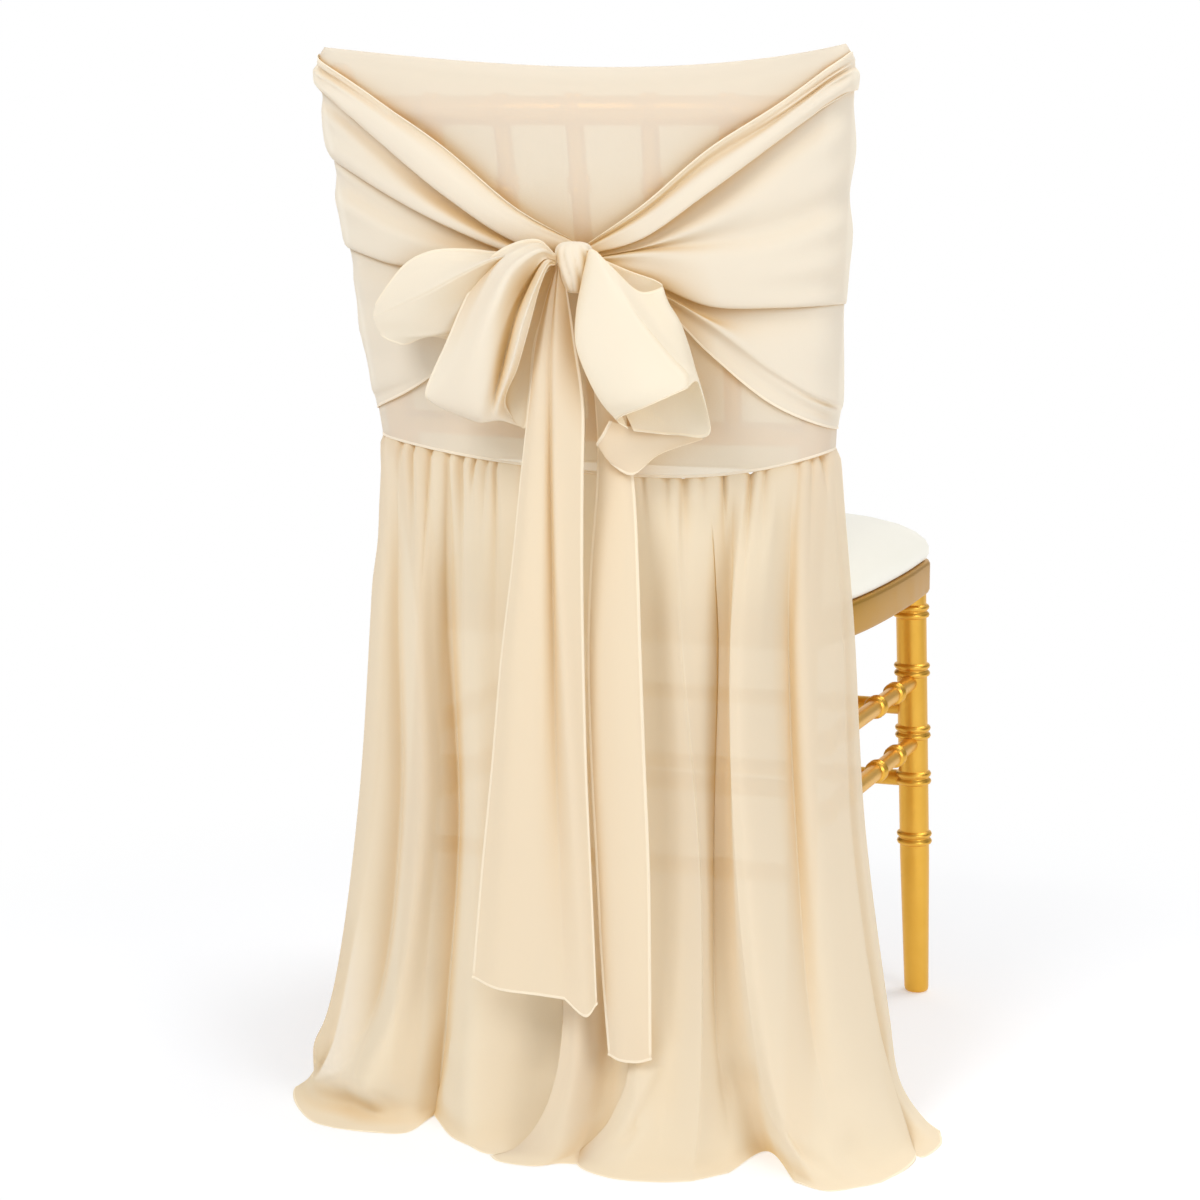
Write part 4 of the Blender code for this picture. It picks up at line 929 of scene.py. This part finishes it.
# Millimetres: x and y of each ridge or valley at the seat, shin, ankle, heel, touch and hem.
SKIRT_LINES = (
    # line            seam    seat         shin         ankle        heel         touch        hem
    ("left_edge",    -1.000, (-213, 2),   (-222, -8),  (-241, -34), (-252, -46), (-261, -59), (-267, -73)),
    ("left_turn",    -0.985, (-211, -26), (-222, -34), (-243, -42), (-256, -54), (-265, -68), (-272, -86)),
    ("left_sheer",   -0.965, (-207, -42), (-217, -56), (-238, -68), (-250, -88), (-254, -94), (-258, -118)),
    ("left_bank",    -0.930, (-194, -55), (-198, -70), (-216, -92), (-228, -124), (-230, -118), (-224, -158)),
    ("left_valley",  -0.870, (-180, -52), (-177, -60), (-188, -84), (-200, -136), (-200, -124), (-198, -168)),
    ("left_ridge",   -0.740, (-148, -85), (-141, -102), (-157, -125), (-168, -152), (-164, -138),
     (-160, -167)),
    ("left_fall",    -0.680, (-138, -76), (-128, -88), (-140, -112), (-146, -130), (-144, -130),
     (-134, -158)),
    ("left_gully",   -0.620, (-128, -64), (-117, -72), (-121, -92), (-125, -99), (-127, -104), (-129, -107)),
    ("broad_left",   -0.500, (-104, -86), (-98, -98),  (-100, -116), (-101, -132), (-98, -142), (-95, -154)),
    ("broad_ridge",  -0.420, (-86, -97),  (-82, -110), (-80, -128), (-78, -148), (-75, -160), (-72, -170)),
    ("broad_flat",   -0.340, (-64, -94),  (-56, -100), (-38, -106), (-36, -122), (-42, -148), (-50, -183)),
    ("tuck",         -0.220, (-42, -82),  (-30, -84),  (26, -92),   (20, -108),  (8, -134),   (0, -176)),
    ("lap_edge",     -0.160, (-34, -94),  (-22, -108), (0, -137),   (-8, -160),  (-28, -174), (-47, -186)),
    ("lap_round",    -0.120, (-26, -95),  (-14, -110), (6, -137),   (2, -162),   (-16, -182), (-36, -196)),
    ("lap_face",     -0.070, (-14, -96),  (-4, -112),  (16, -136),  (14, -162),  (6, -183),   (-8, -198)),
    ("middle_dip",    0.030, (6, -84),    (12, -88),   (34, -102),  (34, -130),  (28, -162),  (16, -184)),
    ("second_tuck",   0.100, (22, -88),   (28, -96),   (60, -118),  (56, -140),  (50, -160),  (44, -180)),
    ("second_edge",   0.130, (30, -94),   (38, -106),  (60, -134),  (50, -156),  (26, -164),  (20, -163)),
    ("second_round",  0.155, (36, -96),   (44, -108),  (64, -137),  (60, -162),  (42, -182),  (34, -188)),
    ("second_face",   0.200, (46, -98),   (54, -112),  (72, -140),  (74, -166),  (68, -189),  (64, -202)),
    ("soft_dip",      0.310, (72, -96),   (86, -108),  (92, -130),  (96, -152),  (98, -176),  (102, -199)),
    ("right_ridge",   0.420, (96, -113),  (118, -128), (125, -142), (128, -160), (128, -174), (130, -188)),
    ("right_gully",   0.540, (117, -80),  (120, -96),  (130, -116), (142, -122), (150, -140), (154, -160)),
    ("notch",         0.630, (130, -82),  (135, -98),  (150, -112), (162, -108), (168, -104), (170, -102)),
    ("sharp_ridge",   0.690, (138, -110), (148, -127), (171, -140), (190, -142), (207, -150), (212, -162)),
    ("sharp_face",    0.740, (148, -108), (160, -126), (184, -145), (204, -156), (226, -164), (240, -173)),
    ("soft_panel",    0.800, (160, -84),  (174, -100), (200, -126), (224, -142), (248, -152), (264, -156)),
    ("soft_valley",   0.860, (173, -58),  (186, -72),  (210, -102), (236, -124), (258, -136), (279, -140)),
    ("right_swell",   0.920, (188, -60),  (202, -74),  (228, -90),  (252, -100), (272, -106), (290, -110)),
    ("right_bank",    0.955, (203, -36),  (217, -46),  (243, -58),  (262, -66),  (280, -76),  (294, -86)),
    ("right_fold",    0.975, (209, -20),  (223, -30),  (250, -36),  (268, -34),  (283, -50),  (292, -70)),
    ("right_under",   0.985, (208, -12),  (220, -20),  (245, -26),  (256, -24),  (272, -40),  (300, -72)),
    ("right_lobe",    0.993, (212, -2),   (226, -10),  (252, -16),  (262, -16),  (288, -28),  (307, -40)),
    ("right_edge",    1.000, (211, 12),   (226, 6),    (251, 0),    (262, 4),    (284, 2),    (299, -6)),
)
CREASES = ("left_valley", "left_gully", "tuck", "lap_edge", "second_tuck", "second_edge", "right_ridge",
           "right_gully", "sharp_ridge", "soft_valley", "right_fold")
GATHER_SEED = 11                            # for every chance number drawn in the skirt
GATHER_PUFF, PUFF_REACH = 0.0045, 0.070
GATHER_WIDTH, GATHER_DEPTH, GATHER_STEP = (0.0014, 0.0036), (0.0035, 0.0095), (0.009, 0.030)
GATHER_REACH, GATHER_LEAN = [0.020, 0.035, 0.065, 0.150], (-0.05, 0.05)


def gathers(across, fallen, chance):
    """Push of the waist's gathers: cloth puffed out between narrow valleys of uneven depth and length."""
    push = GATHER_PUFF * (1 - np.exp(-fallen / 0.005)) * np.exp(-fallen / PUFF_REACH)
    middle = 0.004
    while middle < across[-1]:
        width, depth = chance.uniform(*GATHER_WIDTH), chance.uniform(*GATHER_DEPTH)
        reach, lean = chance.choice(GATHER_REACH), chance.uniform(*GATHER_LEAN)
        offset = np.abs(across[:, None] - middle - lean * fallen) / (width * (1 + 14 * fallen))
        push = push - depth * np.exp(-offset ** 1.3) * np.exp(-(fallen / reach) ** 1.5)
        middle += chance.uniform(*GATHER_STEP)
    return push


FOLD_COUNT, FOLD_WIDTH, FOLD_PUSH = 36, (0.0040, 0.0100), (-0.0022, 0.0036)
FOLD_START, FOLD_LENGTH, FOLD_LEAN = (0.0, 0.12), (0.15, 0.55), (-0.03, 0.03)


def long_folds(across, fallen, chance):
    """Push of the many shallow folds that run on down the cloth."""
    push = np.zeros_like(fallen)
    for _ in range(FOLD_COUNT):
        middle, width = chance.uniform(0, across[-1]), chance.uniform(*FOLD_WIDTH)
        start, length = chance.uniform(*FOLD_START), chance.uniform(*FOLD_LENGTH)
        lean = chance.uniform(*FOLD_LEAN)
        offset = (across[:, None] - middle - lean * fallen) / (width * (1 + fallen))
        along_it = np.clip((fallen - start) / 0.04, 0, 1) * np.exp(-(fallen / length) ** 2)
        push += chance.uniform(*FOLD_PUSH) * np.exp(-offset ** 2) * along_it
    return push


BUCKLE_COUNT, BUCKLE_LEVEL, BUCKLE_TALL = 34, (0.010, 0.075), 0.016
BUCKLE_WIDTH, BUCKLE_LEAN, BUCKLE_PUSH = (0.010, 0.024), (-1.2, 1.2), (-0.0050, 0.0042)


def buckles(points, chance):
    """Push of the small leaning dents where the cloth comes down on the floor."""
    across = np.cumsum(np.linalg.norm(np.gradient(points[:, -1], axis=0), axis=1))[:, None]
    height = points[:, :, 2]
    push = np.zeros_like(height)
    for _ in range(BUCKLE_COUNT):
        middle, level = chance.uniform(0, across[-1, 0]), chance.uniform(*BUCKLE_LEVEL)
        width, lean = chance.uniform(*BUCKLE_WIDTH), chance.uniform(*BUCKLE_LEAN)
        offset = (across - middle - lean * (height - level)) / width
        near = np.exp(-offset ** 2 - ((height - level) / BUCKLE_TALL) ** 2)
        push += chance.uniform(*BUCKLE_PUSH) * near
    return push


def skirt_grid():
    """Points of the skirt, from its seam down, with its gathers, folds and buckles pushed in."""
    keys = []
    for _, seam, *pairs in SKIRT_LINES:
        top = wrap(seam, seam_z(seam) + SEAM_LAP, -1) + (0, SEAM_SET_IN, 0)
        keys.append([top] + [(x / 1000, y / 1000, z) for (x, y), z in zip(pairs, SKIRT_LEVELS)])
    folds = [i for i, line in enumerate(SKIRT_LINES) if line[0] in CREASES]
    points = loft(np.array(keys), 16, 14, folds)
    normal = np.cross(np.gradient(points, axis=1), np.gradient(points, axis=0))
    normal /= np.linalg.norm(normal, axis=2, keepdims=True) + 1e-12
    fallen = np.concatenate([np.zeros((len(points), 1)),
                             np.cumsum(np.linalg.norm(np.diff(points, axis=1), axis=2), axis=1)], axis=1)
    across = np.concatenate([[0], np.cumsum(np.linalg.norm(np.diff(points[:, 0], axis=0), axis=1))])
    chance = np.random.default_rng(GATHER_SEED)
    pinch = gathers(across, fallen, chance)
    points = points + normal * (pinch + long_folds(across, fallen, chance))[:, :, None]
    points = points + normal * buckles(points, chance)[:, :, None]
    points[:, :, 2] += 0.35 * np.clip(pinch, -0.006, 0) * np.exp(-(fallen / 0.004) ** 2)
    return points.transpose(1, 0, 2)


skirt = cloth("gathered_skirt", skirt_grid(), "skirt", hems=("end", "left", "right"), material=GATHERED_PAINTED_SHADE)
spots = np.empty(3 * len(skirt.data.vertices))
skirt.data.vertices.foreach_get("co", spots)
spots = spots.reshape(-1, 3) - HERE
# Beside its left edge the cloth isn't gathered, so the floor shows through its one layer.
EDGE_X, EDGE_BLEND = -0.188, 0.030
EDGE_LOW, EDGE_LOW_BLEND, EDGE_HIGH, EDGE_HIGH_BLEND = 0.018, 0.020, 0.17, 0.10
ungathered = (np.clip((EDGE_X - spots[:, 0]) / EDGE_BLEND, 0, 1)
              * np.clip((spots[:, 2] - EDGE_LOW) / EDGE_LOW_BLEND, 0, 1)
              * np.clip((EDGE_HIGH - spots[:, 2]) / EDGE_HIGH_BLEND, 0, 1))
skirt.data.attributes.new("ungathered", "FLOAT", "POINT").data.foreach_set("value", ungathered)
